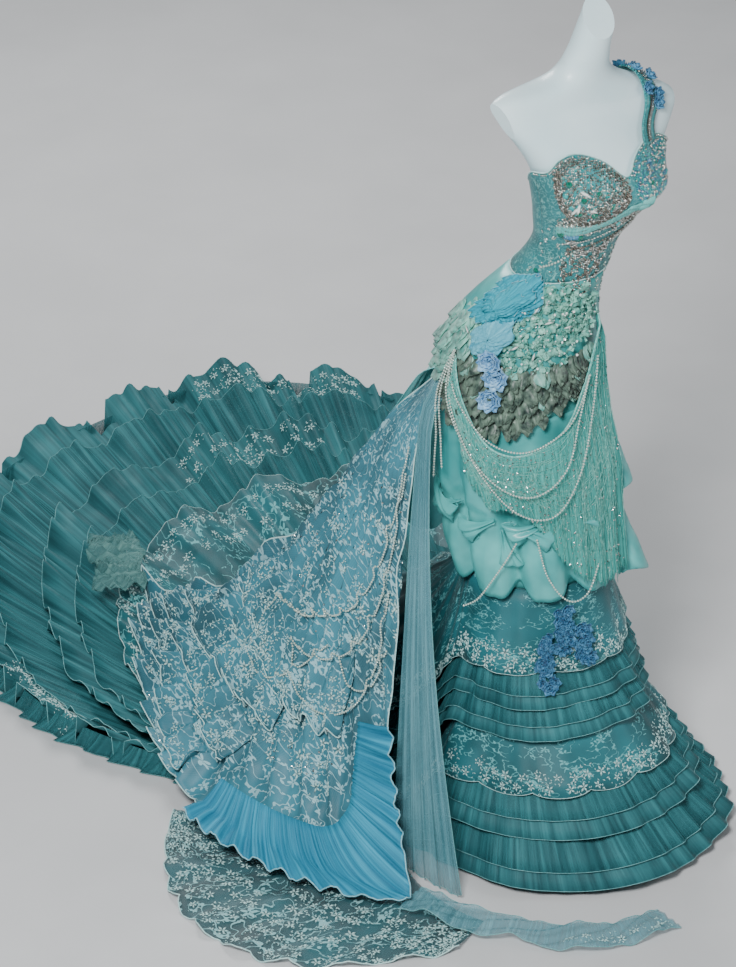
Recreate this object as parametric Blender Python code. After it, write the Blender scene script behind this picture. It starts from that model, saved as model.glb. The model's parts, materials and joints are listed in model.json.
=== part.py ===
"""Mermaid prom dress with a ruffled floor train, on a limbless dress form.

Metres, +Z up. The origin is the centre of the stand's base plate on the floor.
The dress faces -Y, so +X is the wearer's left and +Y the wearer's back.
Angles run anticlockwise from +X as seen from above: 90 is the back, 270 the front.
"""

import math
from collections import namedtuple

import bmesh
import bpy
import numpy as np

# Driving sizes
CLOTH = 0.0020            # wall of a plain cloth layer
TULLE = 0.0015            # wall of a tulle or lace layer
SEAM = 0.0003             # gap where two pieces meet
WEAR_EASE = 0.0030        # from the figure to the cloth worn on it
ON_SHEATH = 0.0053        # from the figure to what is sewn on the cloth worn on it
FORM_INSET = 0.0030       # the form is this much slimmer than the figure under the dress
SIDE_SEAM = 0.16          # half a seam's gap at the sides, in degrees
WAIST_SEAM_Z = 1.270      # where bodice and skirt are sewn together
KNEE_Z = 0.600            # where the sheath ends and the tiers start
FORM_BOTTOM_Z = 0.920
ARM_CUTS_ABOVE, NECK_CUT_ABOVE = 1.440, 1.700
FORM_TOP_Z = 1.880
PLATE_RADIUS, PLATE_THICK = 0.160, 0.008
POLE_RADIUS, POLE_SIDES = 0.014, 14
FLANGE_RADIUS, FLANGE_THICK = 0.028, 0.008

# The cloth and the form are laid out about the centre of the skirt's hem, which stands here
GARMENT_AT = (0.035, -0.075)

# The figure: one row for each horizontal section, an ellipse of half width a (across)
# and half depth b, centred on cx, cy. tilt lowers it towards the wearer's left.
Section = namedtuple("Section", "z cx cy a b tilt")
FIGURE = [
    Section(0.450, -0.032, 0.062, 0.140, 0.128, 0.00),
    Section(0.600, -0.040, 0.083, 0.138, 0.126, 0.00),
    Section(0.750, -0.046, 0.102, 0.143, 0.130, 0.00),
    Section(0.920, -0.055, 0.118, 0.158, 0.140, 0.00),
    Section(1.060, -0.060, 0.126, 0.164, 0.144, 0.00),
    Section(1.150, -0.054, 0.112, 0.146, 0.126, 0.00),
    Section(1.220, -0.036, 0.086, 0.117, 0.098, 0.00),
    Section(1.280, -0.014, 0.055, 0.094, 0.080, 0.00),
    Section(1.335, 0.000, 0.034, 0.088, 0.072, 0.00),
    Section(1.400, 0.000, 0.005, 0.107, 0.086, 0.02),
    Section(1.465, 0.000, -0.014, 0.130, 0.096, 0.06),
    Section(1.520, 0.000, -0.014, 0.152, 0.088, 0.12),
    Section(1.560, 0.000, -0.004, 0.180, 0.076, 0.17),
    Section(1.600, 0.000, 0.010, 0.215, 0.062, 0.20),
    Section(1.625, 0.000, 0.018, 0.232, 0.054, 0.20),
    Section(1.650, 0.000, 0.022, 0.200, 0.050, 0.20),
    Section(1.668, 0.000, 0.022, 0.140, 0.048, 0.18),
    Section(1.684, -0.004, 0.020, 0.088, 0.047, 0.14),
    Section(1.705, -0.007, 0.014, 0.058, 0.045, 0.08),
    Section(1.740, -0.010, 0.000, 0.044, 0.041, 0.02),
    Section(1.800, -0.010, -0.020, 0.036, 0.037, 0.00),
    Section(1.880, -0.008, -0.048, 0.033, 0.035, 0.00),
]
BUST_ANGLES = (241.0, 299.0)
BUST_Z, BUST_REACH, BUST_SPREAD, BUST_HEIGHT = 1.482, 0.026, 25.0, 0.044

# The skirt's outline on the floor, and the lace overskirt's hem
FLOOR_OUTLINE = [  # angle, radius
    (0, 0.310), (20, 0.325), (32, 0.365), (40, 0.520), (46, 0.850), (52, 1.250), (60, 1.580),
    (68, 1.760), (76, 1.880), (88, 1.860), (100, 1.780), (108, 1.610), (118, 1.380), (127, 1.130),
    (135, 0.800), (142, 0.590), (152, 0.440), (166, 0.345), (185, 0.300), (220, 0.290), (270, 0.290), (320, 0.295),
    (340, 0.305), (360, 0.310),
]
TIER_COLUMNS = 6          # columns of points in each wave of a tier

Tier = namedtuple("Tier", "name start end waves gap lace")
TIERS = [  # start and end: shares of the way from knee to hem; gap: from the underskirt's inner side
    Tier("tier_1_lace", 0.00, 0.30, 10, 0.0060, True),
    Tier("tier_2_tulle", 0.23, 0.42, 14, 0.0060, False),
    Tier("tier_3_tulle", 0.34, 0.53, 16, 0.0055, False),
    Tier("tier_4_lace", 0.46, 0.72, 18, 0.0060, True),
    Tier("tier_5_tulle", 0.64, 0.85, 20, 0.0060, False),
    Tier("tier_6_tulle", 0.78, 1.00, 22, 0.0055, False),
]
UNDERSKIRT_COLUMNS = 42
UNDERSKIRT_SHARES = (0.0, 0.115, 0.23, 0.34, 0.46, 0.64, 0.78, 0.89, 1.0)


def smooth_curve(xs, ys, x):
    """A smooth curve through the points xs, ys, read at x."""
    xs, ys = np.asarray(xs, float), np.asarray(ys, float)
    slopes = np.gradient(ys, xs)
    i = int(np.clip(np.searchsorted(xs, x) - 1, 0, len(xs) - 2))
    span = xs[i + 1] - xs[i]
    t = min(max((x - xs[i]) / span, 0.0), 1.0)
    return float(
        ys[i] * (1 + 2 * t) * (1 - t) ** 2
        + slopes[i] * span * t * (1 - t) ** 2
        + ys[i + 1] * t * t * (3 - 2 * t)
        + slopes[i + 1] * span * t * t * (t - 1)
    )


def table_value(rows, x):
    """The second column of a two-column table, read smoothly at x in the first."""
    return smooth_curve([row[0] for row in rows], [row[1] for row in rows], x)


def ease(x):
    """0 below 0, 1 above 1, with a soft turn between."""
    x = min(max(x, 0.0), 1.0)
    return x * x * (3 - 2 * x)


def section(z):
    levels = [row.z for row in FIGURE]
    return Section(z, *(smooth_curve(levels, [row[k] for row in FIGURE], z) for k in range(1, 6)))


def bust(angle, z):
    """How far the cups stand out at this angle and height."""
    rise = math.exp(-(((z - BUST_Z) / BUST_HEIGHT) ** 2))
    across = sum(math.exp(-(((angle % 360 - c) / BUST_SPREAD) ** 2)) for c in BUST_ANGLES)
    return BUST_REACH * rise * across


def figure_point(angle, z, out=0.0):
    """A point on the figure, or out metres outside it."""
    s = section(z)
    reach = out + bust(angle, z)
    c, d = math.cos(math.radians(angle)), math.sin(math.radians(angle))
    across = (s.a + reach) * c
    return np.array([s.cx + across, s.cy + (s.b + reach) * d, z - s.tilt * across])


def material(name, colour, roughness, metallic=0.0):
    made = bpy.data.materials.new(name)
    made.use_nodes = True
    shader = made.node_tree.nodes["Principled BSDF"]
    shader.inputs["Base Color"].default_value = (*colour, 1.0)
    shader.inputs["Roughness"].default_value = roughness
    shader.inputs["Metallic"].default_value = metallic
    made.diffuse_color = (*colour, 1.0)
    return made


def add_object(name, points, faces, finish, at=GARMENT_AT):
    mesh = bpy.data.meshes.new(name)
    mesh.from_pydata([(p[0] + at[0], p[1] + at[1], p[2]) for p in points], [], faces)
    mesh.validate()
    made = bpy.data.objects.new(name, mesh)
    bpy.context.scene.collection.objects.link(made)
    mesh.materials.append(finish)
    mesh.shade_smooth()
    return made


def grid_normals(grid, around):
    """Unit normals of a grid of points [row][column][xyz]; around joins the last column to the first."""
    down = np.gradient(grid, axis=0)
    if around:
        padded = np.concatenate([grid[:, -1:], grid, grid[:, :1]], axis=1)
        along = np.gradient(padded, axis=1)[:, 1:-1]
    else:
        along = np.gradient(grid, axis=1)
    normals = np.cross(down, along)
    return normals / np.maximum(np.linalg.norm(normals, axis=2, keepdims=True), 1e-9)


def wall(name, inner, thick, finish, around=False, flip=False):
    """A closed wall on a grid of inner points: outer points are thick away along the normals.
    flip turns the normals to the other side. thick may be a number or one number for each point."""
    inner = np.asarray(inner, float)
    normals = grid_normals(inner, around) * (-1 if flip else 1)
    outer = inner + normals * np.broadcast_to(np.asarray(thick, float), inner.shape[:2])[..., None]
    return shell(name, inner, outer, finish, around, flip)


def shell(name, inner, outer, finish, around=False, flip=False):
    """A closed solid between two grids of points of one size."""
    rows, columns = inner.shape[:2]
    points = np.concatenate([inner.reshape(-1, 3), outer.reshape(-1, 3)])
    half = rows * columns
    faces = []

    def quad(a, b, c, d):
        faces.extend([(a, b, c), (a, c, d)] if not flip else [(c, b, a), (d, c, a)])

    steps = columns if around else columns - 1
    for i in range(rows - 1):
        for j in range(steps):
            k = (j + 1) % columns
            a, b, c, d = i * columns + j, (i + 1) * columns + j, (i + 1) * columns + k, i * columns + k
            quad(half + a, half + b, half + c, half + d)
            quad(a, d, c, b)
    for j in range(steps):
        k = (j + 1) % columns
        last = (rows - 1) * columns
        quad(j, half + j, half + k, k)
        quad(last + k, half + last + k, half + last + j, last + j)
    if not around:
        for i in range(rows - 1):
            a, b = i * columns, (i + 1) * columns
            quad(half + a, a, b, half + b)
            a, b = a + columns - 1, b + columns - 1
            quad(a, half + a, half + b, b)
    return add_object(name, points, faces, finish)


# The skirt below the knee


def floor_radius(angle):
    return table_value(FLOOR_OUTLINE, angle % 360)


def spread(angle):
    """0 where the skirt stands like a bell, 1 where it lies out as a train."""
    return ease((angle % 360 - 20.0) / 46.0) * ease((176.0 - angle % 360) / 50.0)


def skirt_point(angle, share):
    """The underskirt's inner side, from the knee at share 0 to the hem on the floor at share 1."""
    m = spread(angle)
    reach_floor = 1.0 - 0.42 * m
    fall = max(0.0, 1.0 - share / reach_floor) ** (1.0 + 0.9 * m)
    out = share ** (2.1 - 0.95 * m)
    knee = figure_point(angle, KNEE_Z, WEAR_EASE)
    g = floor_radius(angle)
    c, d = math.cos(math.radians(angle)), math.sin(math.radians(angle))
    return np.array([knee[0] + (g * c - knee[0]) * out, knee[1] + (g * d - knee[1]) * out, KNEE_Z * fall])


def skirt_normal(angle, share):
    """The way out of the underskirt, straight up or away from the centre but never sideways."""
    step_a, step_s = 0.5, 0.004
    along = skirt_point(angle + step_a, share) - skirt_point(angle - step_a, share)
    low, high = max(share - step_s, 0.0), min(share + step_s, 1.0)
    down = skirt_point(angle, high) - skirt_point(angle, low)
    n = np.cross(down, along)
    sideways = np.array([-math.sin(math.radians(angle)), math.cos(math.radians(angle)), 0.0])
    n = n - sideways * float(n @ sideways)
    return n / np.linalg.norm(n)


def even_angles(count, share):
    """count angles, evenly spaced along the skirt's outline at this share."""
    fine = np.linspace(0.0, 360.0, 721)
    line = np.array([skirt_point(a, share) for a in fine])
    length = np.concatenate([[0.0], np.cumsum(np.linalg.norm(np.diff(line, axis=0), axis=1))])
    return np.interp(np.linspace(0.0, length[-1], count, endpoint=False), length, fine)


def underskirt_grid():
    """Angles, inner points and normals of the underskirt's own corners."""
    angles = even_angles(UNDERSKIRT_COLUMNS, 1.0)
    points = np.array([[skirt_point(a, s) for a in angles] for s in UNDERSKIRT_SHARES])
    normals = np.array([[skirt_normal(a, s) for a in angles] for s in UNDERSKIRT_SHARES])
    return angles, points, normals


UNDERSKIRT = underskirt_grid()


def above_skirt(angle, share, height):
    """A point height metres outside the underskirt's flat facets."""
    angles, points, normals = UNDERSKIRT
    count = len(angles)
    j = int(np.searchsorted(angles, angle % 360, side="right")) - 1
    k = (j + 1) % count
    span = (angles[k] - angles[j]) % 360
    u = ((angle - angles[j]) % 360) / span
    i = int(np.clip(np.searchsorted(UNDERSKIRT_SHARES, share, side="right") - 1, 0, len(UNDERSKIRT_SHARES) - 2))
    v = (share - UNDERSKIRT_SHARES[i]) / (UNDERSKIRT_SHARES[i + 1] - UNDERSKIRT_SHARES[i])
    weights = ((i, j, (1 - v) * (1 - u)), (i, k, (1 - v) * u), (i + 1, j, v * (1 - u)), (i + 1, k, v * u))
    point = sum(points[a, b] * w for a, b, w in weights)
    normal = sum(normals[a, b] * w for a, b, w in weights)
    return point + normal / np.linalg.norm(normal) * height


def far_end(angle):
    """1 round the far end of the train, 0 at its sides and in front."""
    return spread(angle) * ease((124.0 - angle) / 22.0) * ease((angle - 50.0) / 22.0)


def tier_lift(angle):
    """How far a tier's free edge stands off the underskirt."""
    return 0.034 + 0.026 * spread(angle) + 0.040 * far_end(angle)


CALM_GAP = 0.0072         # how much further off the tiers lie where the train turns into the front


def calm(angle):
    """1 where the train turns into the front on the wearer's left, where the tiers lie smooth."""
    return ease((angle % 360 - 16.0) / 10.0) * ease((68.0 - angle % 360) / 14.0)


def tier_wave(angle):
    return (0.008 - 0.002 * spread(angle) + 0.018 * far_end(angle)) * (1 - 0.9 * calm(angle))


def underskirt(finish):
    _, points, normals = UNDERSKIRT
    grid, out = points.copy(), normals.copy()
    grid[0, :, 2] -= SEAM
    out[0, :, 2] = 0.0
    out[0] /= np.linalg.norm(out[0], axis=1, keepdims=True)
    shell("underskirt_train", grid, grid + out * CLOTH, finish, around=True)


def tier(row, finish):
    angles = even_angles(TIER_COLUMNS * row.waves, row.end)
    inner, outer = [], []
    for share, free in ((row.start, 0.0), (row.end, 1.0)):
        heights = [
            row.gap + CALM_GAP * calm(angle)
            + free * (tier_lift(angle) + tier_wave(angle) * math.cos(2 * math.pi * j / TIER_COLUMNS))
            for j, angle in enumerate(angles)
        ]
        inner.append([above_skirt(a, share, h) for a, h in zip(angles, heights)])
        outer.append([above_skirt(a, share, h + TULLE) for a, h in zip(angles, heights)])
    shell(row.name, np.array(inner), np.array(outer), finish, around=True)


# The worn part


def worn(name, angles, height, rows, finish):
    """A fitted piece on the figure; height gives the z of a row at an angle. Its edges are level."""
    inner, outer = (
        np.array([[figure_point(a, height(a, i), out) for a in angles] for i in range(rows)])
        for out in (WEAR_EASE, WEAR_EASE + CLOTH)
    )
    shell(name, inner, outer, finish)


SHEATH_LEVELS = (1.225, 1.180, 1.140, 1.100, 1.060, 1.000, 0.920, 0.800, 0.700)


def sheath(name, first, last, finish):
    """Half of the fitted skirt, from the waist seam to the knee."""
    levels = (WAIST_SEAM_Z - SEAM, *SHEATH_LEVELS, KNEE_Z)
    worn(name, np.linspace(first, last, 12), lambda a, i: levels[i], len(levels), finish)


NECKLINE = [  # angle, height of the bodice's upper edge
    (0, 1.520), (40, 1.465), (90, 1.430), (140, 1.470), (180, 1.518), (205, 1.528), (224, 1.552),
    (240, 1.562), (256, 1.548), (270, 1.518), (282, 1.548), (297, 1.574), (328, 1.556), (360, 1.520),
]


def bodice(name, first, last, columns, finish):
    rows = 12

    def height(angle, i):
        top = table_value(NECKLINE, angle % 360)
        return top + (WAIST_SEAM_Z - top) * i / (rows - 1)

    worn(name, np.linspace(first, last, columns), height, rows, finish)


def inside_figure(p):
    """Whether a point lies in the figure."""
    z = p[2]
    for _ in range(6):
        s = section(min(max(z, FIGURE[0].z), FIGURE[-1].z))
        z = p[2] + s.tilt * (p[0] - s.cx)
    s = section(z)
    angle = math.degrees(math.atan2((p[1] - s.cy) / s.b, (p[0] - s.cx) / s.a))
    reach = bust(angle, z)
    return ((p[0] - s.cx) / (s.a + reach)) ** 2 + ((p[1] - s.cy) / (s.b + reach)) ** 2 < 1.0


def figure_distance(centre, direction):
    """From a point in the figure to its surface, along a direction."""
    low, high = 0.0, 0.4
    for _ in range(24):
        middle = (low + high) / 2
        if inside_figure(centre + direction * middle):
            low = middle
        else:
            high = middle
    return low


STRAP_TOP_X, STRAP_END_X, STRAP_WIDTH = 0.135, 0.088, 0.040
STRAP_Y, STRAP_Z = -0.006, 1.560
STRAP_FIRST, STRAP_LAST = -190.0, 34.0      # degrees about +X, 0 straight back, -180 straight forward
STRAP_CLEAR, STRAP_OVER_BODICE = 0.0070, 0.0100


def shoulder_strap(finish):
    """The one strap, from the left cup over the shoulder to the back."""
    grid = []
    rows = 20
    for i in range(rows + 1):
        turn = math.radians(STRAP_FIRST + (STRAP_LAST - STRAP_FIRST) * i / rows)
        direction = np.array([0.0, math.cos(turn), -math.sin(turn)])
        end = min(i, rows - i) / rows
        clear = STRAP_CLEAR + (STRAP_OVER_BODICE - STRAP_CLEAR) * (1.0 - ease(end / 0.25))
        line = []
        for across in (-0.5, 0.0, 0.5):
            x = STRAP_END_X + (STRAP_TOP_X - STRAP_END_X) * ease(end / 0.4) + across * STRAP_WIDTH
            centre = np.array([x, STRAP_Y, STRAP_Z])
            line.append(centre + direction * (figure_distance(centre, direction) + clear))
        grid.append(line)
    wall("shoulder_strap", grid, CLOTH, finish)


def cut_flat(mesh_object, point, normal, above):
    """Cuts the part of a closed mesh above a height by a plane, drops the side that the normal
    points to, and closes the cut."""
    mesh = bmesh.new()
    mesh.from_mesh(mesh_object.data)
    faces = [f for f in mesh.faces if min(v.co.z for v in f.verts) > above]
    edges = {e for f in faces for e in f.edges}
    corners = {v for f in faces for v in f.verts}
    cut = bmesh.ops.bisect_plane(
        mesh, geom=[*corners, *edges, *faces], plane_co=point, plane_no=normal, clear_outer=True, dist=1e-6
    )
    rim = [e for e in cut["geom_cut"] if isinstance(e, bmesh.types.BMEdge)]
    bmesh.ops.triangle_fill(mesh, edges=rim, use_beauty=True)
    bmesh.ops.recalc_face_normals(mesh, faces=mesh.faces)
    mesh.to_mesh(mesh_object.data)
    mesh.free()


def garment(x, y, z):
    """A point given about the centre of the hem."""
    return (x + GARMENT_AT[0], y + GARMENT_AT[1], z)


def dress_form(finish):
    """The limbless form: a smooth closed body with a slanted neck cut and flat arm cuts."""
    columns = 26
    levels = np.concatenate([np.linspace(FORM_BOTTOM_Z, 1.52, 14), np.linspace(1.55, FORM_TOP_Z, 14)])
    points, faces = [], []
    for z in levels:
        inset = FORM_INSET * ease((1.58 - z) / 0.06)
        points += [figure_point(360.0 * j / columns, z, -inset) for j in range(columns)]
    for i in range(len(levels) - 1):
        for j in range(columns):
            k = (j + 1) % columns
            a, b = i * columns, (i + 1) * columns
            faces.append((a + j, a + k, b + k, b + j))
    last = (len(levels) - 1) * columns
    faces.append(tuple(reversed(range(columns))))
    faces.append(tuple(last + j for j in range(columns)))
    form = add_object("dress_form", points, faces, finish)
    cut_flat(form, garment(-0.222, 0.030, 1.685), (-0.94, -0.10, -0.32), ARM_CUTS_ABOVE)
    cut_flat(form, garment(0.222, 0.030, 1.597), (0.94, -0.10, -0.32), ARM_CUTS_ABOVE)
    cut_flat(form, garment(-0.010, -0.034, 1.815), (0.0, -0.83, 0.56), NECK_CUT_ABOVE)
    return form


def turned(name, profile, sides, finish):
    """A solid of revolution about Z from (radius, z) rows, bottom to top, with flat ends."""
    points, faces = [], []
    for radius, z in profile:
        for j in range(sides):
            turn = 2 * math.pi * j / sides
            points.append((radius * math.cos(turn), radius * math.sin(turn), z))
    for i in range(len(profile) - 1):
        for j in range(sides):
            k = (j + 1) % sides
            a, b = i * sides, (i + 1) * sides
            faces.append((a + j, a + k, b + k, b + j))
    last = (len(profile) - 1) * sides
    faces.append(tuple(reversed(range(sides))))
    faces.append(tuple(last + j for j in range(sides)))
    return add_object(name, points, faces, finish, at=(0.0, 0.0))


def stand():
    steel = material("stand_steel", (0.75, 0.76, 0.78), 0.35, 1.0)
    plate = [(PLATE_RADIUS, 0.0), (PLATE_RADIUS, PLATE_THICK - 0.002), (PLATE_RADIUS - 0.002, PLATE_THICK)]
    turned("stand_plate", plate, 40, steel)
    top = FORM_BOTTOM_Z - SEAM
    pole = [
        (POLE_RADIUS, PLATE_THICK + SEAM),
        (POLE_RADIUS, top - FLANGE_THICK),
        (FLANGE_RADIUS, top - FLANGE_THICK),
        (FLANGE_RADIUS, top),
    ]
    turned("stand_pole", pole, POLE_SIDES, steel)


# The overskirt's pieces. A place function gives the inner side at u along the angle and v down.


def sheet(name, place, columns, rows, thick, finish, around=False):
    steps = columns if around else columns - 1
    grid = [[place(j / steps, i / rows) for j in range(columns)] for i in range(rows + 1)]
    return wall(name, grid, thick, finish, around)


PUFF_LOBES = 9
PUFF_TOP_Z, PUFF_HEM_Z, PUFF_SCALLOP, PUFF_RISE = 0.985, 0.605, 0.026, 0.090
PUFF_PROFILE = [  # share of the way down, distance from the figure
    (0.00, 0.0063), (0.20, 0.012), (0.45, 0.030), (0.62, 0.024), (0.82, 0.036), (1.00, 0.026),
]
PUFF_WAVE = 0.013


def satin_overskirt(finish):
    def place(u, v):
        angle = 360.0 * u + 12.0
        lobe = math.cos(math.radians(angle * PUFF_LOBES))
        hem = PUFF_HEM_Z - PUFF_SCALLOP * lobe + PUFF_RISE * spread(angle)
        z = PUFF_TOP_Z + (hem - PUFF_TOP_Z) * v
        return figure_point(angle, z, table_value(PUFF_PROFILE, v) + PUFF_WAVE * lobe * ease(v / 0.5))

    sheet("satin_overskirt", place, 5 * PUFF_LOBES, 5, CLOTH, finish, around=True)


SWAG = [  # angle, top edge height, lower edge height
    (186.0, 1.110, 1.020), (196.0, 1.035, 0.890), (208.0, 0.960, 0.815), (226.0, 0.925, 0.800),
    (238.0, 0.930, 0.765), (250.0, 0.945, 0.690), (266.0, 0.985, 0.630), (280.0, 1.060, 0.612),
    (290.0, 1.130, 0.610), (302.0, 1.200, 0.615),
]
SWAG_WAVES, SWAG_OUT_TOP, SWAG_OUT_LOW, SWAG_WAVE = 9, 0.027, 0.057, 0.004


def tulle_swag(finish):
    tops = [(row[0], row[1]) for row in SWAG]
    lows = [(row[0], row[2]) for row in SWAG]

    def place(u, v):
        angle = SWAG[0][0] + (SWAG[-1][0] - SWAG[0][0]) * u
        top, low = table_value(tops, angle), table_value(lows, angle)
        z = top + (low - top) * v
        out = SWAG_OUT_TOP + (SWAG_OUT_LOW - SWAG_OUT_TOP) * ease((1.05 - z) / 0.25)
        free = ease(max((SWAG[-1][0] - angle) / 9.0, v / 0.15))
        out = ON_SHEATH + (out - ON_SHEATH) * free
        return figure_point(angle, z, out + SWAG_WAVE * v * math.cos(2 * math.pi * SWAG_WAVES * u))

    sheet("tulle_swag", place, 3 * SWAG_WAVES + 1, 4, TULLE, finish)


PETALS = [  # angle, top edge height, lower edge height
    (178.0, 1.060, 0.965), (196.0, 1.058, 0.955), (214.0, 1.075, 0.945), (232.0, 1.095, 0.955),
    (256.0, 1.100, 0.990), (274.0, 1.110, 1.020), (292.0, 1.120, 1.045),
]
PETAL_COUNT, PETAL_POINT, PETAL_WAVE, PETAL_OUT = 18, 0.014, 0.0030, 0.0145


def petal_band(finish):
    tops = [(row[0], row[1]) for row in PETALS]
    lows = [(row[0], row[2]) for row in PETALS]

    def place(u, v):
        angle = PETALS[0][0] + (PETALS[-1][0] - PETALS[0][0]) * u
        turn = math.cos(2 * math.pi * PETAL_COUNT * u)
        top, low = table_value(tops, angle), table_value(lows, angle) - PETAL_POINT * turn
        out = ON_SHEATH + (PETAL_OUT - ON_SHEATH + PETAL_WAVE * (1 + turn)) * v
        return figure_point(angle, top + (low - top) * v, out)

    sheet("petal_band", place, 2 * PETAL_COUNT + 1, 2, TULLE, finish)


# Round trimmings: centre angle and height on the figure, radius, how far out they sit, how
# high they dome, number of waves round the edge
Bloom = namedtuple("Bloom", "name angle z radius out dome waves rings")
BLOOMS = [
    Bloom("rosette", 196.0, 1.228, 0.056, 0.0075, 0.020, 8, 3),
    Bloom("organza_puff", 205.0, 1.170, 0.036, 0.0277, 0.010, 6, 2),
    Bloom("flower_1", 212.0, 1.128, 0.024, 0.0359, 0.006, 5, 1),
    Bloom("flower_2", 218.0, 1.095, 0.026, 0.0274, 0.007, 5, 1),
    Bloom("flower_3", 215.5, 1.0436, 0.024, 0.0274, 0.007, 5, 1),
]


def bloom(row, finish):
    """A domed, waved round of cloth laid on the figure."""
    columns = 3 * row.waves
    hole = 0.12
    reach = section(row.z).b + row.out

    def place(u, v):
        turn = -2 * math.pi * u
        r = hole + (1.0 - hole) * (1.0 - v)
        edge = row.radius * r * (1.0 + 0.10 * r * math.cos(turn * row.waves))
        lift = row.dome * (1.0 - r * r) + 0.12 * row.radius * r * math.cos(turn * row.waves + 1.6)
        angle = row.angle + math.degrees(edge * math.cos(turn) / reach)
        return figure_point(angle, row.z + edge * math.sin(turn), row.out + max(lift, -0.006) + 0.004)

    sheet(row.name, place, columns, row.rings, TULLE, finish, around=True)


def hip_spray(finish):
    """Pale petals over the wearer's right hip, sewn as one spray."""
    def place(u, v):
        angle = 138.0 + 32.0 * u
        turn = math.cos(2 * math.pi * 4 * u)
        z = 1.195 + (1.105 - 0.020 * turn - 1.195) * v
        return figure_point(angle, z, ON_SHEATH + (0.023 + 0.010 * turn) * v)

    sheet("hip_spray", place, 17, 2, TULLE, finish)


# Long sheets that hang from the hip to the floor: u runs from the first edge to the last.
# Top angle and floor angle, floor radius and floor height along u
Fall = namedtuple("Fall", "u top_angle low_angle radius height bend")
LACE_TRAIN = [
    Fall(0.00, 124.0, 105.0, 1.130, 0.140, 1.70),
    Fall(0.15, 128.0, 112.0, 1.060, 0.125, 1.70),
    Fall(0.32, 133.0, 123.0, 0.950, 0.105, 1.65),
    Fall(0.50, 140.0, 136.0, 0.850, 0.070, 1.55),
    Fall(0.68, 147.0, 150.0, 0.730, 0.042, 1.40),
    Fall(0.85, 154.0, 168.0, 0.590, 0.032, 1.40),
    Fall(1.00, 161.0, 185.0, 0.510, 0.032, 1.40),
    Fall(1.10, 165.0, 194.0, 0.480, 0.032, 1.40),   # past the edge, for the ruffle sewn on it
]
LACE_FOLDS, LACE_TOP_Z = 11, 1.000
GAUZE_PANEL = [
    Fall(0.00, 163.5, 168.0, 0.405, 0.006, 1.00),
    Fall(0.50, 170.0, 180.0, 0.400, 0.006, 1.00),
    Fall(1.00, 177.0, 196.0, 0.395, 0.006, 1.00),
]
GAUZE_FOLDS, GAUZE_TOP_Z = 5, 1.060
SATIN_BACK = [
    Fall(0.00, 65.5, 66.0, 0.480, 0.440, 0.80),
    Fall(0.50, 92.0, 91.0, 0.560, 0.430, 0.80),
    Fall(1.00, 118.0, 108.0, 0.600, 0.440, 0.80),
]
SATIN_FOLDS, SATIN_TOP_Z = 4, 1.000


FALL_BULGE = 0.034        # how far a hanging sheet springs out below its sewn edge


def fall_point(rows, u, v, top_z, top_out):
    """A point of a hanging sheet: v is 0 at the hip and 1 at the lower edge."""
    us = [row.u for row in rows]
    top_angle, low_angle, radius, height, bend = (
        smooth_curve(us, [row[k] for row in rows], u) for k in range(1, 6)
    )
    start = figure_point(top_angle, top_z, top_out)
    first = math.hypot(start[0], start[1])
    begin = math.degrees(math.atan2(start[1], start[0]))
    turn = math.radians(begin + (low_angle - begin) * v ** 0.9)
    r = first + (radius - first) * v + FALL_BULGE * ease(v / 0.1) * (1 - min(v, 1.0))
    return np.array([r * math.cos(turn), r * math.sin(turn), height + (top_z - height) * max(1 - v, 0.0) ** bend])


def hanging(name, rows, top_z, top_out, folds, wave, columns, levels, thick, finish):
    def place(u, v):
        p = fall_point(rows, u, v, top_z, top_out)
        lift = wave(u) * v * math.cos(2 * math.pi * folds * u)
        slope = math.hypot(p[0], p[1])
        return p + np.array([p[0] / slope * 0.5, p[1] / slope * 0.5, 1.0]) * lift

    sheet(name, place, columns, levels, thick, finish)


LOWER_LACE = [  # angle, inner radius, outer radius, height of the inner edge
    (143.0, 0.770, 0.830, 0.000), (150.0, 0.690, 0.850, 0.000), (162.0, 0.520, 0.880, 0.010),
    (174.0, 0.440, 0.870, 0.040), (186.0, 0.440, 0.800, 0.024), (197.0, 0.440, 0.660, 0.008),
    (206.0, 0.440, 0.560, 0.000),
]
LOWER_FOLDS, LOWER_WAVE = 9, 0.016


def lower_lace(finish):
    inner = [(row[0], row[1]) for row in LOWER_LACE]
    outer = [(row[0], row[2]) for row in LOWER_LACE]
    heights = [(row[0], row[3]) for row in LOWER_LACE]

    def place(u, v):
        angle = LOWER_LACE[0][0] + (LOWER_LACE[-1][0] - LOWER_LACE[0][0]) * u
        a, b = table_value(inner, angle), table_value(outer, angle)
        r = a + (b - a) * v
        wave = 0.5 + 0.5 * math.cos(2 * math.pi * LOWER_FOLDS * u)
        turn = math.radians(angle)
        z = table_value(heights, angle) * (1 - v) ** 2 + LOWER_WAVE * wave * v
        return np.array([r * math.cos(turn), r * math.sin(turn), z])

    sheet("lower_lace", place, 4 * LOWER_FOLDS + 1, 2, TULLE, finish)


RUFFLE = [  # along it, gathered edge u and v on the lace train, free edge u and v
    (0.00, 0.900, 0.58, 1.030, 0.56),
    (0.17, 0.905, 0.70, 1.050, 0.72),
    (0.30, 0.905, 0.76, 1.060, 0.84),
    (0.38, 0.890, 0.80, 1.055, 0.96),
    (0.46, 0.872, 0.83, 1.015, 1.07),
    (0.53, 0.845, 0.85, 0.960, 1.12),
    (0.62, 0.800, 0.86, 0.885, 1.15),
    (0.80, 0.710, 0.87, 0.765, 1.14),
    (1.00, 0.620, 0.88, 0.640, 1.11),
]
RUFFLE_WAVES, RUFFLE_OFF, RUFFLE_WAVE = 18, 0.0118, 0.009


def train_point(u, v):
    return fall_point(LACE_TRAIN, u, v, LACE_TOP_Z, ON_SHEATH)


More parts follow.
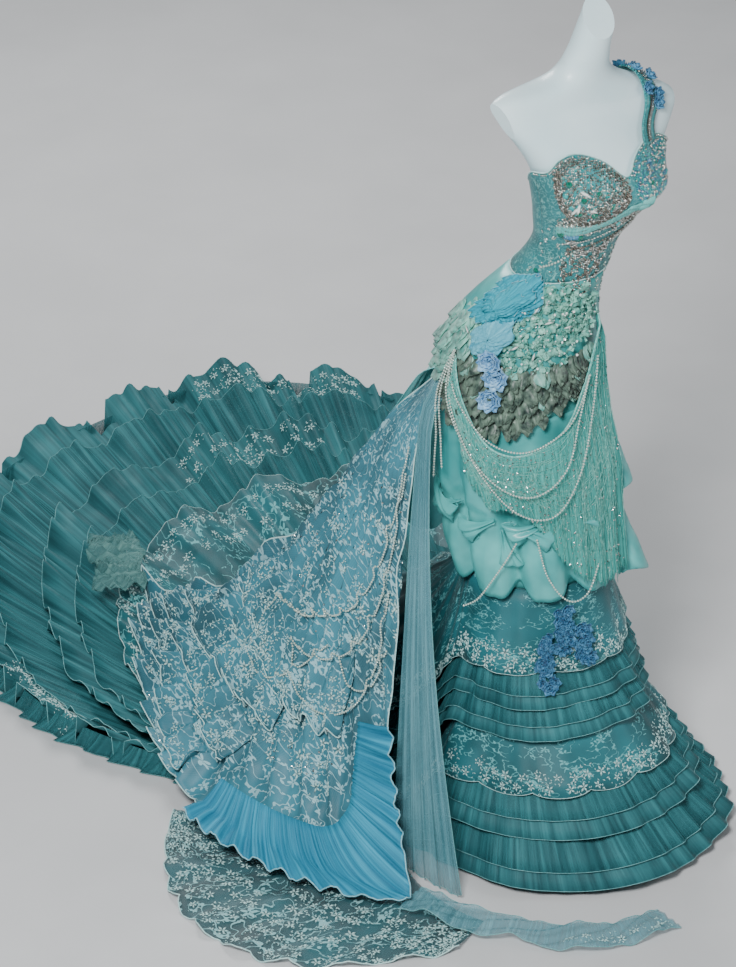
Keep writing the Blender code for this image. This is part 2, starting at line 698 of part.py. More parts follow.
def blue_ruffle(finish):
    """The blue ruffle: points of the lace train moved out."""
    ts = [row[0] for row in RUFFLE]

    def place(t, w, out):
        u0, v0, u1, v1 = (smooth_curve(ts, [row[k] for row in RUFFLE], t) for k in range(1, 5))
        u, v = u0 + (u1 - u0) * w, v0 + (v1 - v0) * w
        normal = np.cross(train_point(u, v + 0.08) - train_point(u, v - 0.08),
                          train_point(u + 0.04, v) - train_point(u - 0.04, v))
        normal = normal / np.linalg.norm(normal)
        corner = ease((t - 0.24) / 0.08) * ease((0.60 - t) / 0.08)
        wave = RUFFLE_WAVE * math.cos(2 * math.pi * RUFFLE_WAVES * t) * (0.10 + 0.90 * w) * (1 - 0.85 * corner)
        return train_point(u, v) + normal * (RUFFLE_OFF + wave + out)

    columns = 4 * RUFFLE_WAVES
    inner, outer = (
        np.array([[place(1 - j / columns, w / 2, out) for j in range(columns + 1)] for w in range(3)])
        for out in (0.0, TULLE)
    )
    shell("blue_ruffle", inner, outer, finish)


Strip = namedtuple("Strip", "angle radius height")
TRAIL = [
    Strip(188.0, 0.490, 0.024), Strip(198.0, 0.475, 0.018), Strip(212.0, 0.455, 0.004),
    Strip(224.0, 0.455, 0.000), Strip(236.0, 0.460, 0.000), Strip(247.0, 0.445, 0.000),
    Strip(257.0, 0.430, 0.000),
]
TRAIL_WIDTH, TRAIL_WAVES = 0.085, 4
TRAIN_STRIP = [
    Strip(102.08, 1.289, 0.171), Strip(105.08, 1.219, 0.161), Strip(108.08, 1.159, 0.146),
]
TRAIN_STRIP_WIDTH, TRAIN_STRIP_WAVES = 0.110, 2


def laid_strip(name, path, width, waves, wave, finish):
    """A gathered strip laid on the floor or over the tiers, along a polar path."""
    ks = [k / (len(path) - 1) for k in range(len(path))]

    def centre(t):
        angle, radius, height = (smooth_curve(ks, [row[k] for row in path], t) for k in range(3))
        turn = math.radians(angle)
        return np.array([radius * math.cos(turn), radius * math.sin(turn), height])

    def place(t, w):
        step = centre(min(t + 0.01, 1.0)) - centre(max(t - 0.01, 0.0))
        side = np.array([step[1], -step[0], 0.0]) / math.hypot(step[0], step[1])
        lift = wave * (1 - math.cos(2 * math.pi * waves * t)) * (w if t > 0 else 0.5)
        return centre(t) + side * width * (w - 0.5) + np.array([0.0, 0.0, lift])

    sheet(name, place, 4 * waves + 1, 1, TULLE, finish)


FLOWER_STRIPS = [  # angle, top share and lower share of the skirt, half width in degrees, distance off it
    (238.0, 0.14, 0.36, 4.6, 0.0356), (249.0, 0.05, 0.22, 3.4, 0.0340), (261.0, 0.12, 0.26, 4.2, 0.0432),
]
FLOWER_STRIP_WAVE = 0.004


def flower_strip(number, row, finish):
    angle, top, low, half, off = row

    def place(u, v):
        turn = math.cos(2 * math.pi * 2.5 * v)
        share = top + (low - top) * v
        a = angle + half * (2 * u - 1) * (1 + 0.25 * turn)
        return above_skirt(a, share, off + FLOWER_STRIP_WAVE * (1 - abs(2 * u - 1)))

    sheet(f"flower_strip_{number}", place, 3, 6, CLOTH, finish)


def main():
    for old in list(bpy.data.objects):
        bpy.data.objects.remove(old)
    satin = material("satin", (0.30, 0.68, 0.68), 0.35)
    tulle = material("tulle", (0.06, 0.30, 0.32), 0.7)
    lace = material("lace", (0.25, 0.55, 0.58), 0.6)
    beaded = material("beaded_tulle", (0.25, 0.55, 0.52), 0.4)
    gauze = material("gauze", (0.25, 0.50, 0.55), 0.6)
    mint = material("mint_tulle", (0.20, 0.55, 0.48), 0.6)
    leaf = material("leaf_organza", (0.22, 0.30, 0.25), 0.6)
    blue = material("blue_organza", (0.05, 0.42, 0.60), 0.5)
    lilac = material("flower_cloth", (0.35, 0.55, 0.85), 0.6)
    white = material("form_white", (0.80, 0.88, 0.90), 0.35)
    stand()
    dress_form(white)
    bodice("bodice_front", 180.0, 360.0, 21, beaded)
    bodice("bodice_back", SIDE_SEAM, 180.0 - SIDE_SEAM, 13, beaded)
    shoulder_strap(beaded)
    sheath("skirt_front", 180.0, 360.0, satin)
    sheath("skirt_back", SIDE_SEAM, 180.0 - SIDE_SEAM, satin)
    underskirt(tulle)
    for row in TIERS:
        tier(row, lace if row.lace else tulle)
    satin_overskirt(satin)
    tulle_swag(mint)
    petal_band(leaf)
    for row in BLOOMS:
        bloom(row, blue if row.waves > 5 else lilac)
    hip_spray(mint)
    hanging("lace_train", LACE_TRAIN, LACE_TOP_Z, ON_SHEATH, LACE_FOLDS,
            lambda u: 0.004 + 0.022 * ease(1 - u / 0.65), 3 * LACE_FOLDS + 1, 6, TULLE, lace)
    hanging("gauze_panel", GAUZE_PANEL, GAUZE_TOP_Z, ON_SHEATH, GAUZE_FOLDS,
            lambda u: 0.012, 3 * GAUZE_FOLDS + 1, 5, TULLE, gauze)
    hanging("satin_back", SATIN_BACK, SATIN_TOP_Z, ON_SHEATH, SATIN_FOLDS,
            lambda u: 0.014, 4 * SATIN_FOLDS + 1, 4, CLOTH, satin)
    lower_lace(lace)
    blue_ruffle(blue)
    laid_strip("trailing_strip", TRAIL, TRAIL_WIDTH, TRAIL_WAVES, 0.008, gauze)
    laid_strip("train_strip", TRAIN_STRIP, TRAIN_STRIP_WIDTH, TRAIN_STRIP_WAVES, 0.010, leaf)
    for number, row in enumerate(FLOWER_STRIPS, 1):
        flower_strip(number, row, lilac)


main()
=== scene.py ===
"""The look of the mermaid prom dress on its dress form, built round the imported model.

Metres, +Z up, the row's own frame. The dress faces -Y. Angles run anticlockwise from +X as seen
from above: 90 is the back, 270 the front. Tables and lengths are about the centre of the skirt's hem.
"""

import json
import math

import bmesh
import bpy
import numpy as np
from mathutils import Matrix, Vector
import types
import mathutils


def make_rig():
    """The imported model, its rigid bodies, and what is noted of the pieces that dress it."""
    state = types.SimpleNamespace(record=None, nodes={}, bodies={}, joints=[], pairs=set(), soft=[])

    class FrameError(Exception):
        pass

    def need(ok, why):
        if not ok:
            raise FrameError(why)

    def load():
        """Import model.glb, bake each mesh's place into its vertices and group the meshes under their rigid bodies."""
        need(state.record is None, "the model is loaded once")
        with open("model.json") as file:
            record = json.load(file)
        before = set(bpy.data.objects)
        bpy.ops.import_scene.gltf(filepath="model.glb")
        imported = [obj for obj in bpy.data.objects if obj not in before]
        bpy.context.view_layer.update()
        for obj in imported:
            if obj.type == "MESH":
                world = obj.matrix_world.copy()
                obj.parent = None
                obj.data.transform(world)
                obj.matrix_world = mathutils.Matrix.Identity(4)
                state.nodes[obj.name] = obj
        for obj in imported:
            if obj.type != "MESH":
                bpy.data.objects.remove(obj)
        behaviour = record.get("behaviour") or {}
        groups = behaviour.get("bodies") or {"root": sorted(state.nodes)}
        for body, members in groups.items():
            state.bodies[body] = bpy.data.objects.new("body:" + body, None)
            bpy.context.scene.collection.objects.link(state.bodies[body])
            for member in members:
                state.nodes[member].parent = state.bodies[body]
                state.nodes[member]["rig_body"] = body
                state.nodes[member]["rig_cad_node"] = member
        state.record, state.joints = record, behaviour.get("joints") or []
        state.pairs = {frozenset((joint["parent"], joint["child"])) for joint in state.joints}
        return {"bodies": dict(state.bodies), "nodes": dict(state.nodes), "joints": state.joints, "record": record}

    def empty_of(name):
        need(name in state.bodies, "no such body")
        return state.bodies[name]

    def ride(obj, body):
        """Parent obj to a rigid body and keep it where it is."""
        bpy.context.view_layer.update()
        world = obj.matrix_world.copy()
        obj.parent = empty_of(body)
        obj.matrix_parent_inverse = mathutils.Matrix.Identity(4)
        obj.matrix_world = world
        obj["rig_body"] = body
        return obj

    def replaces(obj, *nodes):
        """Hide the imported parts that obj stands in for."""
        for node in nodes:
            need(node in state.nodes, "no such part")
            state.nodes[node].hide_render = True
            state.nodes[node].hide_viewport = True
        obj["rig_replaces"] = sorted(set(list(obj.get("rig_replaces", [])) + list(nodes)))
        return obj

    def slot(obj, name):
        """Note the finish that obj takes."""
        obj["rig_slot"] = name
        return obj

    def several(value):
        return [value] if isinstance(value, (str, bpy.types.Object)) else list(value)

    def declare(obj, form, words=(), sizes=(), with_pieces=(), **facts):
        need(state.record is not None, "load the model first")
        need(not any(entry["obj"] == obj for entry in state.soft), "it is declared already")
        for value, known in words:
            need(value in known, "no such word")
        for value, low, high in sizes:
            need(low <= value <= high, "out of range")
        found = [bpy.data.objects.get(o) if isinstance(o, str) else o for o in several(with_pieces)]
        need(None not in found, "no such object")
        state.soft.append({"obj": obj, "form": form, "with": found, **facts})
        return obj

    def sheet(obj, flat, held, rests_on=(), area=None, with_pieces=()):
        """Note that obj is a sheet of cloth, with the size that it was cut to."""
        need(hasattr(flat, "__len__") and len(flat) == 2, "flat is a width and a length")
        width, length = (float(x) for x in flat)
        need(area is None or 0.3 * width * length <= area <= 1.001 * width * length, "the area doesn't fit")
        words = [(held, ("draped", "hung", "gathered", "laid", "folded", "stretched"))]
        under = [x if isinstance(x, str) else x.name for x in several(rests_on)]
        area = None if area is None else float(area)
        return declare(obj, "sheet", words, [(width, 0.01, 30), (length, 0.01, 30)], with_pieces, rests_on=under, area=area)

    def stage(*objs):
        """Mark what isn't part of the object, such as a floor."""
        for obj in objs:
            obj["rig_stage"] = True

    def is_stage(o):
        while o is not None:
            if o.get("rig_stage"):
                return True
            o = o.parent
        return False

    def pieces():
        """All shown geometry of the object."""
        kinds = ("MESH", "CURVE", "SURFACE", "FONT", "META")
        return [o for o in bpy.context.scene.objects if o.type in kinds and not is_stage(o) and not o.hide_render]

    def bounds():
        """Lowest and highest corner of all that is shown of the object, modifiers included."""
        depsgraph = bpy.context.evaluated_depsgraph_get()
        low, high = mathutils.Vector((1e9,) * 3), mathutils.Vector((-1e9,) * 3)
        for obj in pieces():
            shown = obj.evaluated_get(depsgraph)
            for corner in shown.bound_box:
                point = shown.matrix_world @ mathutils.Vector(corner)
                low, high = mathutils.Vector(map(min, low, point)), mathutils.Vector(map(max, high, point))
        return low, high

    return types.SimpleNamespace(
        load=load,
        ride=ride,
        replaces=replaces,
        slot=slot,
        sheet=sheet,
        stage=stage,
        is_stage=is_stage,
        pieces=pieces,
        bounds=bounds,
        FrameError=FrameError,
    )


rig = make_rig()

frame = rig.load()
CAD_BOX = [list(corner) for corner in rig.bounds()]

# Where the skirt's hem is centred, and the cloth's sizes
GARMENT_AT = np.array([0.035, -0.075, 0.0])
CLOTH, WEAR_EASE, ON_SHEATH, FORM_INSET = 0.0020, 0.0030, 0.0053, 0.0030
DRAWN_THICK, ORGANZA_THICK = 0.0008, 0.0006
WAIST_SEAM_Z, KNEE_Z = 1.270, 0.600
FORM_BOTTOM_Z, FORM_TOP_Z = 0.920, 1.880
rng = np.random.default_rng(11)

FIGURE = np.array([  # z, centre x, centre y, half width, half depth, tilt
    (0.450, -0.032, 0.062, 0.140, 0.128, 0.00), (0.600, -0.040, 0.083, 0.138, 0.126, 0.00),
    (0.750, -0.046, 0.102, 0.143, 0.130, 0.00), (0.920, -0.055, 0.118, 0.158, 0.140, 0.00),
    (1.060, -0.060, 0.126, 0.164, 0.144, 0.00), (1.150, -0.054, 0.112, 0.146, 0.126, 0.00),
    (1.220, -0.036, 0.086, 0.117, 0.098, 0.00), (1.280, -0.014, 0.055, 0.094, 0.080, 0.00),
    (1.335, 0.000, 0.034, 0.088, 0.072, 0.00), (1.400, 0.000, 0.005, 0.107, 0.086, 0.02),
    (1.465, 0.000, -0.014, 0.130, 0.096, 0.06), (1.520, 0.000, -0.014, 0.152, 0.088, 0.12),
    (1.560, 0.000, -0.004, 0.180, 0.076, 0.17), (1.600, 0.000, 0.010, 0.215, 0.062, 0.20),
    (1.625, 0.000, 0.018, 0.232, 0.054, 0.20), (1.650, 0.000, 0.022, 0.200, 0.050, 0.20),
    (1.668, 0.000, 0.022, 0.140, 0.048, 0.18), (1.684, -0.004, 0.020, 0.088, 0.047, 0.14),
    (1.705, -0.007, 0.014, 0.058, 0.045, 0.08), (1.740, -0.010, 0.000, 0.044, 0.041, 0.02),
    (1.800, -0.010, -0.020, 0.036, 0.037, 0.00), (1.880, -0.008, -0.048, 0.033, 0.035, 0.00),
])
BUST_ANGLES = (241.0, 299.0)
BUST_Z, BUST_REACH, BUST_SPREAD, BUST_HEIGHT = 1.482, 0.026, 25.0, 0.044

FLOOR_OUTLINE = [  # angle, radius
    (0, 0.310), (20, 0.325), (32, 0.365), (40, 0.520), (46, 0.850), (52, 1.250), (60, 1.580),
    (68, 1.760), (76, 1.880), (88, 1.860), (100, 1.780), (108, 1.610), (118, 1.380), (127, 1.130),
    (135, 0.800), (142, 0.590), (152, 0.440), (166, 0.345), (185, 0.300), (220, 0.290), (270, 0.290),
    (320, 0.295), (340, 0.305), (360, 0.310),
]


def curve(xs, ys, x):
    """A smooth curve through the points xs, ys, read at each x."""
    xs, ys, x = np.asarray(xs, float), np.asarray(ys, float), np.asarray(x, float)
    slopes = np.gradient(ys, xs)
    i = np.clip(np.searchsorted(xs, x) - 1, 0, len(xs) - 2)
    span = xs[i + 1] - xs[i]
    t = np.clip((x - xs[i]) / span, 0.0, 1.0)
    return (
        ys[i] * (1 + 2 * t) * (1 - t) ** 2 + slopes[i] * span * t * (1 - t) ** 2
        + ys[i + 1] * t * t * (3 - 2 * t) + slopes[i + 1] * span * t * t * (t - 1)
    )


def column(rows, k, x):
    """Column k of a table, read smoothly at x in its first column."""
    return curve([row[0] for row in rows], [row[k] for row in rows], x)


def ease(x):
    x = np.clip(x, 0.0, 1.0)
    return x * x * (3 - 2 * x)


def cosine(turns):
    return np.cos(2 * np.pi * np.asarray(turns, float))


def ripple(x, step, seed):
    """Uneven soft waves along x, about one for each step, between about -1 and 1."""
    waves = np.random.default_rng(seed)
    total = 0.0
    for scale, weight in ((1.0, 0.62), (0.618, 0.30), (1.71, 0.26)):
        total = total + weight * np.sin(2 * np.pi * x * scale / step + waves.uniform(0, 6.28))
    return total


def stack(*parts):
    return np.stack(np.broadcast_arrays(*parts), -1)


def unit(vectors):
    return vectors / np.maximum(np.linalg.norm(vectors, axis=-1, keepdims=True), 1e-9)


def on_figure(angle, z, out=0.0):
    """Points on the figure, or out metres outside it."""
    angle, z, out = np.broadcast_arrays(*(np.asarray(p, float) for p in (angle, z, out)))
    cx, cy, a, b, tilt = (curve(FIGURE[:, 0], FIGURE[:, k], z) for k in range(1, 6))
    rise = np.exp(-(((z - BUST_Z) / BUST_HEIGHT) ** 2))
    across = sum(np.exp(-(((angle % 360 - c) / BUST_SPREAD) ** 2)) for c in BUST_ANGLES)
    reach = out + BUST_REACH * rise * across
    c, d = np.cos(np.radians(angle)), np.sin(np.radians(angle))
    return stack(cx + (a + reach) * c, cy + (b + reach) * d, z - tilt * (a + reach) * c)


# Meshes


def spin(count):
    """A random way for each of count things."""
    return rng.normal(size=(count, 3))


def outward(angle, z, reach=0.02):
    """The way straight out of the figure."""
    return unit(on_figure(angle, z, reach) - on_figure(angle, z, 0.0))


def build(name, points, faces, finish, slot, nodes=(), uv=None, smooth=True):
    """A mesh object from arrays of points and of faces with equally many corners."""
    mesh = bpy.data.meshes.new(name)
    points = np.asarray(points, float).reshape(-1, 3) + GARMENT_AT
    faces = np.asarray(faces)
    mesh.vertices.add(len(points))
    mesh.vertices.foreach_set("co", points.ravel())
    mesh.loops.add(faces.size)
    mesh.loops.foreach_set("vertex_index", faces.ravel())
    mesh.polygons.add(len(faces))
    mesh.polygons.foreach_set("loop_start", np.arange(0, faces.size, faces.shape[1]))
    mesh.update(calc_edges=True)
    mesh.polygons.foreach_set("use_smooth", np.full(len(faces), smooth))
    if uv is not None:
        mesh.uv_layers.new(name="cloth").data.foreach_set("uv", uv.ravel())
    mesh.materials.append(finish)
    made = bpy.data.objects.new(name, mesh)
    bpy.context.scene.collection.objects.link(made)
    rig.ride(made, "root")
    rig.slot(made, slot)
    if nodes:
        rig.replaces(made, *nodes)
    return made


def lattice(columns, rows):
    """u along the columns and v down the rows, each from 0 to 1."""
    return np.meshgrid(np.linspace(0, 1, columns), np.linspace(0, 1, rows))


def lengths(grid, axis):
    """How far along the grid each row or column lies, in metres."""
    steps = np.linalg.norm(np.diff(grid, axis=axis), axis=2)
    return np.concatenate([[0.0], np.cumsum(steps.mean(axis=1 - axis))])


# The flat cut of each piece of cloth: the mean lengths of its rows and columns, and its area
CUT = {}


def lay(piece, held, under, edges=()):
    """States a piece of cloth as a sheet: how it is held, what it rests on and what edges are sewn to it."""
    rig.sheet(piece, **CUT[piece.name], held=held, rests_on=under, with_pieces=list(edges))


def cloth(name, grid, finish, slot, nodes=(), around=False, thick=DRAWN_THICK):
    """Thin cloth on a grid of points [row][column]; around joins the last column to the first."""
    if around:
        closed = np.concatenate([grid, grid[:, :1]], axis=1)
    else:
        closed = grid
    us, vs = lengths(closed, 1), lengths(closed, 0)
    faces_area = np.linalg.norm(np.cross(closed[1:, 1:] - closed[:-1, :-1],
                                         closed[1:, :-1] - closed[:-1, 1:]), axis=2)
    flat = (round(float(us[-1]), 3), round(float(vs[-1]), 3))
    CUT[name] = {"flat": flat, "area": round(min(float(faces_area.sum()) / 2, flat[0] * flat[1]), 5)}
    rows, columns = grid.shape[:2]
    i, j = np.meshgrid(np.arange(rows - 1), np.arange(len(us) - 1), indexing="ij")
    corners = ((i, j), (i + 1, j), (i + 1, j + 1), (i, j + 1))
    faces = np.stack([a * columns + b % columns for a, b in corners], -1).reshape(-1, 4)
    uv = np.stack([np.stack([us[b], vs[a]], -1) for a, b in corners], 2)
    made = build(name, grid, faces, finish, slot, nodes, uv)
    wall = made.modifiers.new("thickness", "SOLIDIFY")
    wall.thickness, wall.offset = thick, 0.0
    return made


def tube(name, lines, radius, finish, slot, sides=5, nodes=()):
    """Round threads along one or more lines of points, as one mesh. A line may be closed."""
    points, faces, first = [], [], 0
    for line in lines:
        line = np.asarray(line, float)
        closed = np.linalg.norm(line[0] - line[-1]) < 1e-6
        if closed:
            line = line[:-1]
            way = unit(np.roll(line, -1, 0) - np.roll(line, 1, 0))
        else:
            way = unit(np.gradient(line, axis=0))
        side = unit(np.cross(way, (0.01, 0.02, 1.0)))
        up = np.cross(side, way)
        turn = 2 * np.pi * np.arange(sides) / sides
        ring = side[:, None] * np.cos(turn)[:, None] + up[:, None] * np.sin(turn)[:, None]
        points.append((line[:, None] + radius * ring).reshape(-1, 3))
        n = len(line)
        i, j = np.meshgrid(np.arange(n if closed else n - 1), np.arange(sides), indexing="ij")
        a, b, k = i * sides, (i + 1) % n * sides, (j + 1) % sides
        faces.append(np.stack([a + j, b + j, b + k, a + k], -1).reshape(-1, 4) + first)
        first += n * sides
    return build(name, np.concatenate(points), np.concatenate(faces), finish, slot, nodes)


def round_shape(subdivisions):
    mesh = bmesh.new()
    bmesh.ops.create_icosphere(mesh, subdivisions=subdivisions, radius=1.0)
    shape = (np.array([v.co[:] for v in mesh.verts]),
             np.array([[v.index for v in f.verts] for f in mesh.faces]))
    mesh.free()
    return shape


def fan_shape(outline, top, bottom):
    """A closed shape from an outline in the plane, a point above it and a point below it."""
    n = len(outline)
    points = np.array([(x, y, 0.0) for x, y in outline] + [top, bottom], float)
    faces = [(j, (j + 1) % n, n) for j in range(n)] + [((j + 1) % n, j, n + 1) for j in range(n)]
    return points, np.array(faces)


def petal_shape(width, cup, wave, rows=4, columns=3):
    """A thin petal from its foot at the origin to its tip at y 1: width, how much it cups, edge waves."""
    v, u = np.meshgrid(np.linspace(0, 1, rows), np.linspace(-1, 1, columns), indexing="ij")
    half = width * (0.30 + 0.70 * np.sin(np.pi * v ** 0.8 * 0.86)) * np.where(v > 0.99, 0.45, 1.0)
    x, y = u * half, v * (1.0 - 0.10 * u * u)
    z = cup * (v * v + 0.5 * u * u * v) + wave * np.abs(u) * v * np.sin(9.0 * v + 4.0 * u)
    top = np.stack([x, y, z], -1).reshape(-1, 3)
    under = top - (0.0, 0.0, 0.03)
    i, j = np.meshgrid(np.arange(rows - 1), np.arange(columns - 1), indexing="ij")
    a = i * columns + j
    quads = np.stack([a, a + 1, a + columns + 1, a + columns], -1).reshape(-1, 4)
    rim = [*range(columns), *range(2 * columns - 1, rows * columns, columns)]
    rim += [*range(rows * columns - 2, (rows - 1) * columns - 1, -1),
            *range((rows - 2) * columns, 0, -columns)]
    n = rows * columns
    sides = [(b, a, a + n, b + n) for a, b in zip(rim, rim[1:] + rim[:1])]
    return np.concatenate([top, under]), np.concatenate([quads, quads[:, ::-1] + n, np.array(sides)])


BEAD = round_shape(1)
LEAF = fan_shape([(0, -1), (0.40, 0.05), (0, 1), (-0.40, 0.05)], (0, 0, 0.30), (0, 0, -0.05))
SEQUIN = fan_shape([(math.cos(a), math.sin(a)) for a in np.arange(6) * math.pi / 3], (0, 0, 0.12),
                   (0, 0, -0.05))
STONE = fan_shape([(math.cos(a), math.sin(a)) for a in np.arange(8) * math.pi / 4], (0, 0, 0.65),
                  (0, 0, -0.25))
SHARD = fan_shape([(0, -1), (0.22, -0.4), (0.28, 0.2), (0, 1), (-0.20, 0.3), (-0.16, -0.3)], (0, 0, 0.10),
                  (0, 0, -0.05))


def scatter(name, shape, places, normals, ups, sizes, finish, slot, smooth=True, nodes=()):
    """Joined copies of a small shape: its z points along each normal and its y along each up."""
    points, faces = shape
    normals = unit(normals)
    ups = unit(ups - normals * np.sum(ups * normals, -1, keepdims=True))
    sides = np.cross(ups, normals)
    sizes = np.broadcast_to(np.asarray(sizes, float), (len(places),))[:, None, None]
    frames = np.stack([sides, ups, normals], 1)
    spread_out = places[:, None] + sizes * np.einsum("pk,nkc->npc", points, frames)
    numbers = faces[None] + (np.arange(len(places)) * len(points))[:, None, None]
    return build(name, spread_out, numbers.reshape(-1, faces.shape[1]), finish, slot, nodes, smooth=smooth)


class Surface:
    """A grid of points that small things are laid on: u runs along the columns and v down the rows."""

    def __init__(self, grid, around=False):
        self.grid = np.concatenate([grid, grid[:, :1]], axis=1) if around else grid
        self.down, self.along = np.gradient(self.grid, axis=0), np.gradient(self.grid, axis=1)
        rows, columns = self.grid.shape[:2]
        self.steps = (columns - 1, rows - 1)

    def read(self, values, u, v):
        x = np.clip(u, 0, 1) * self.steps[0]
        y = np.clip(v, 0, 1) * self.steps[1]
        j = np.minimum(x.astype(int), self.steps[0] - 1)
        i = np.minimum(y.astype(int), self.steps[1] - 1)
        s, t = (x - j)[:, None], (y - i)[:, None]
        return (values[i, j] * (1 - s) * (1 - t) + values[i, j + 1] * s * (1 - t)
                + values[i + 1, j] * (1 - s) * t + values[i + 1, j + 1] * s * t)

    def at(self, u, v, off=0.0):
        """Places, normals, and the unit way along u and down v; and the metres to a unit of u and v."""
        u, v = np.broadcast_arrays(np.asarray(u, float), np.asarray(v, float))
        along = self.read(self.along, u, v)
        down = self.read(self.down, u, v)
        normal = unit(np.cross(down, along))
        metres = (np.linalg.norm(along, axis=1) * self.steps[0], np.linalg.norm(down, axis=1) * self.steps[1])
        return self.read(self.grid, u, v) + normal * off, normal, unit(along), unit(down), metres


# Materials


class Finish:
    """A node material built in words: self.add makes a node, with numbers or sockets as its inputs."""

    def __init__(self, name, **inputs):
        self.material = bpy.data.materials.new(name)
        self.material.use_nodes = True
        self.tree = self.material.node_tree
        self.shader = self.tree.nodes["Principled BSDF"]
        self.set(self.shader, inputs)
        self.place = self.add("ShaderNodeTexCoord").outputs["Object"]
        self.cloth = self.add("ShaderNodeUVMap", {"uv_map": "cloth"}).outputs["UV"]

    def set(self, node, inputs):
        for key, value in inputs.items():
            socket = (node.inputs[int(key[1:])] if key[0] == "i" and key[1:].isdigit()
                      else node.inputs[key.replace("_", " ")])
            if isinstance(value, bpy.types.NodeSocket):
                self.tree.links.new(value, socket)
            else:
                socket.default_value = value

    def add(self, kind, settings=None, **inputs):
        node = self.tree.nodes.new(kind)
        for key, value in (settings or {}).items():
            setattr(node, key, value)
        self.set(node, inputs)
        return node

    def noise(self, vector, scale, detail=3.0, roughness=0.55):
        made = self.add("ShaderNodeTexNoise", None, Vector=vector, Scale=scale, Detail=detail,
                        Roughness=roughness)
        return made.outputs["Fac"]

    def stretched(self, vector, sizes):
        return self.add("ShaderNodeMapping", None, Vector=vector, Scale=sizes).outputs["Vector"]

    def ramp(self, value, stops):
        made = self.add("ShaderNodeValToRGB", None, Fac=value)
        band = made.color_ramp
        while len(band.elements) < len(stops):
            band.elements.new(0.5)
        for element, (at, colour) in zip(band.elements, stops):
            element.position = at
            element.color = (*colour, 1.0) if len(colour) == 3 else colour
        return made.outputs["Color"]

    def math(self, kind, a, b=0.0, c=0.0):
        return self.add("ShaderNodeMath", {"operation": kind}, i0=a, i1=b, i2=c).outputs[0]

    def mix(self, share, a, b):
        made = self.add("ShaderNodeMix", {"data_type": "RGBA"}, Factor=share)
        for k, value in ((6, a), (7, b)):
            if isinstance(value, bpy.types.NodeSocket):
                self.tree.links.new(value, made.inputs[k])
            else:
                made.inputs[k].default_value = (*value, 1.0)
        return made.outputs[2]

    def net(self, pitch):
        """1 on the threads of a fine net, 0 in its holes."""
        cells = self.add("ShaderNodeTexVoronoi", {"feature": "DISTANCE_TO_EDGE"}, Vector=self.cloth,
                         Scale=1.0 / pitch, Randomness=0.25)
        return self.math("LESS_THAN", cells.outputs["Distance"], 0.11)

    def bump(self, height, distance, strength=0.6, under=None):
        made = self.add("ShaderNodeBump", None, Height=height, Distance=distance, Strength=strength)
        if under is not None:
            self.tree.links.new(under, made.inputs["Normal"])
        return made.outputs["Normal"]

    def done(self, **inputs):
        self.set(self.shader, inputs)
        return self.material


def scaled(colour, factor):
    return tuple(min(c * factor, 1.0) for c in colour)


def tulle_finish(name, dark, light, streak, alpha=None, rough=0.60):
    """Gathered net: streaks run down the cloth, about one for each streak metres."""
    made = Finish(name, Roughness=rough, Sheen_Weight=0.12, Sheen_Roughness=0.4, Specular_IOR_Level=0.25)
    made.shader.inputs["Sheen Tint"].default_value = (*scaled(light, 2.0), 1.0)
    lines = made.noise(made.stretched(made.cloth, (1.0 / streak, 2.0, 1.0)), 1.0, 4.0, 0.6)
    cloud = made.noise(made.place, 6.0, 2.0)
    value = made.math("MULTIPLY_ADD", lines, 0.72, made.math("MULTIPLY", cloud, 0.28))
    colour = made.ramp(value, [(0.36, dark), (0.52, tuple((a + b) / 2 for a, b in zip(dark, light))),
                               (0.64, light)])
    threads = made.net(0.0016)
    colour = made.mix(made.math("MULTIPLY", threads, 0.22), colour, scaled(light, 1.25))
    normal = made.bump(threads, 0.0002, 0.3, made.bump(lines, 0.004, 0.6))
    if alpha is not None:
        holes = made.math("MULTIPLY_ADD", lines, alpha[1] - alpha[0], alpha[0])
        return made.done(Base_Color=colour, Normal=normal, Alpha=holes)
    return made.done(Base_Color=colour, Normal=normal)


def satin_finish(name, dark, light, rough=0.27):
    made = Finish(name, Roughness=rough, Sheen_Weight=0.15, Sheen_Roughness=0.35, Anisotropic=0.5)
    made.shader.inputs["Sheen Tint"].default_value = (*scaled(light, 1.5), 1.0)
    cloud = made.noise(made.place, 9.0, 3.0)
    creases = made.noise(made.stretched(made.place, (26.0, 26.0, 9.0)), 1.0, 2.0)
    weave = made.noise(made.stretched(made.cloth, (2600.0, 380.0, 1.0)), 1.0, 1.0)
    colour = made.ramp(cloud, [(0.35, dark), (0.65, light)])
    normal = made.bump(weave, 0.0001, 0.25, made.bump(creases, 0.004, 0.35))
    return made.done(Base_Color=colour, Normal=normal)


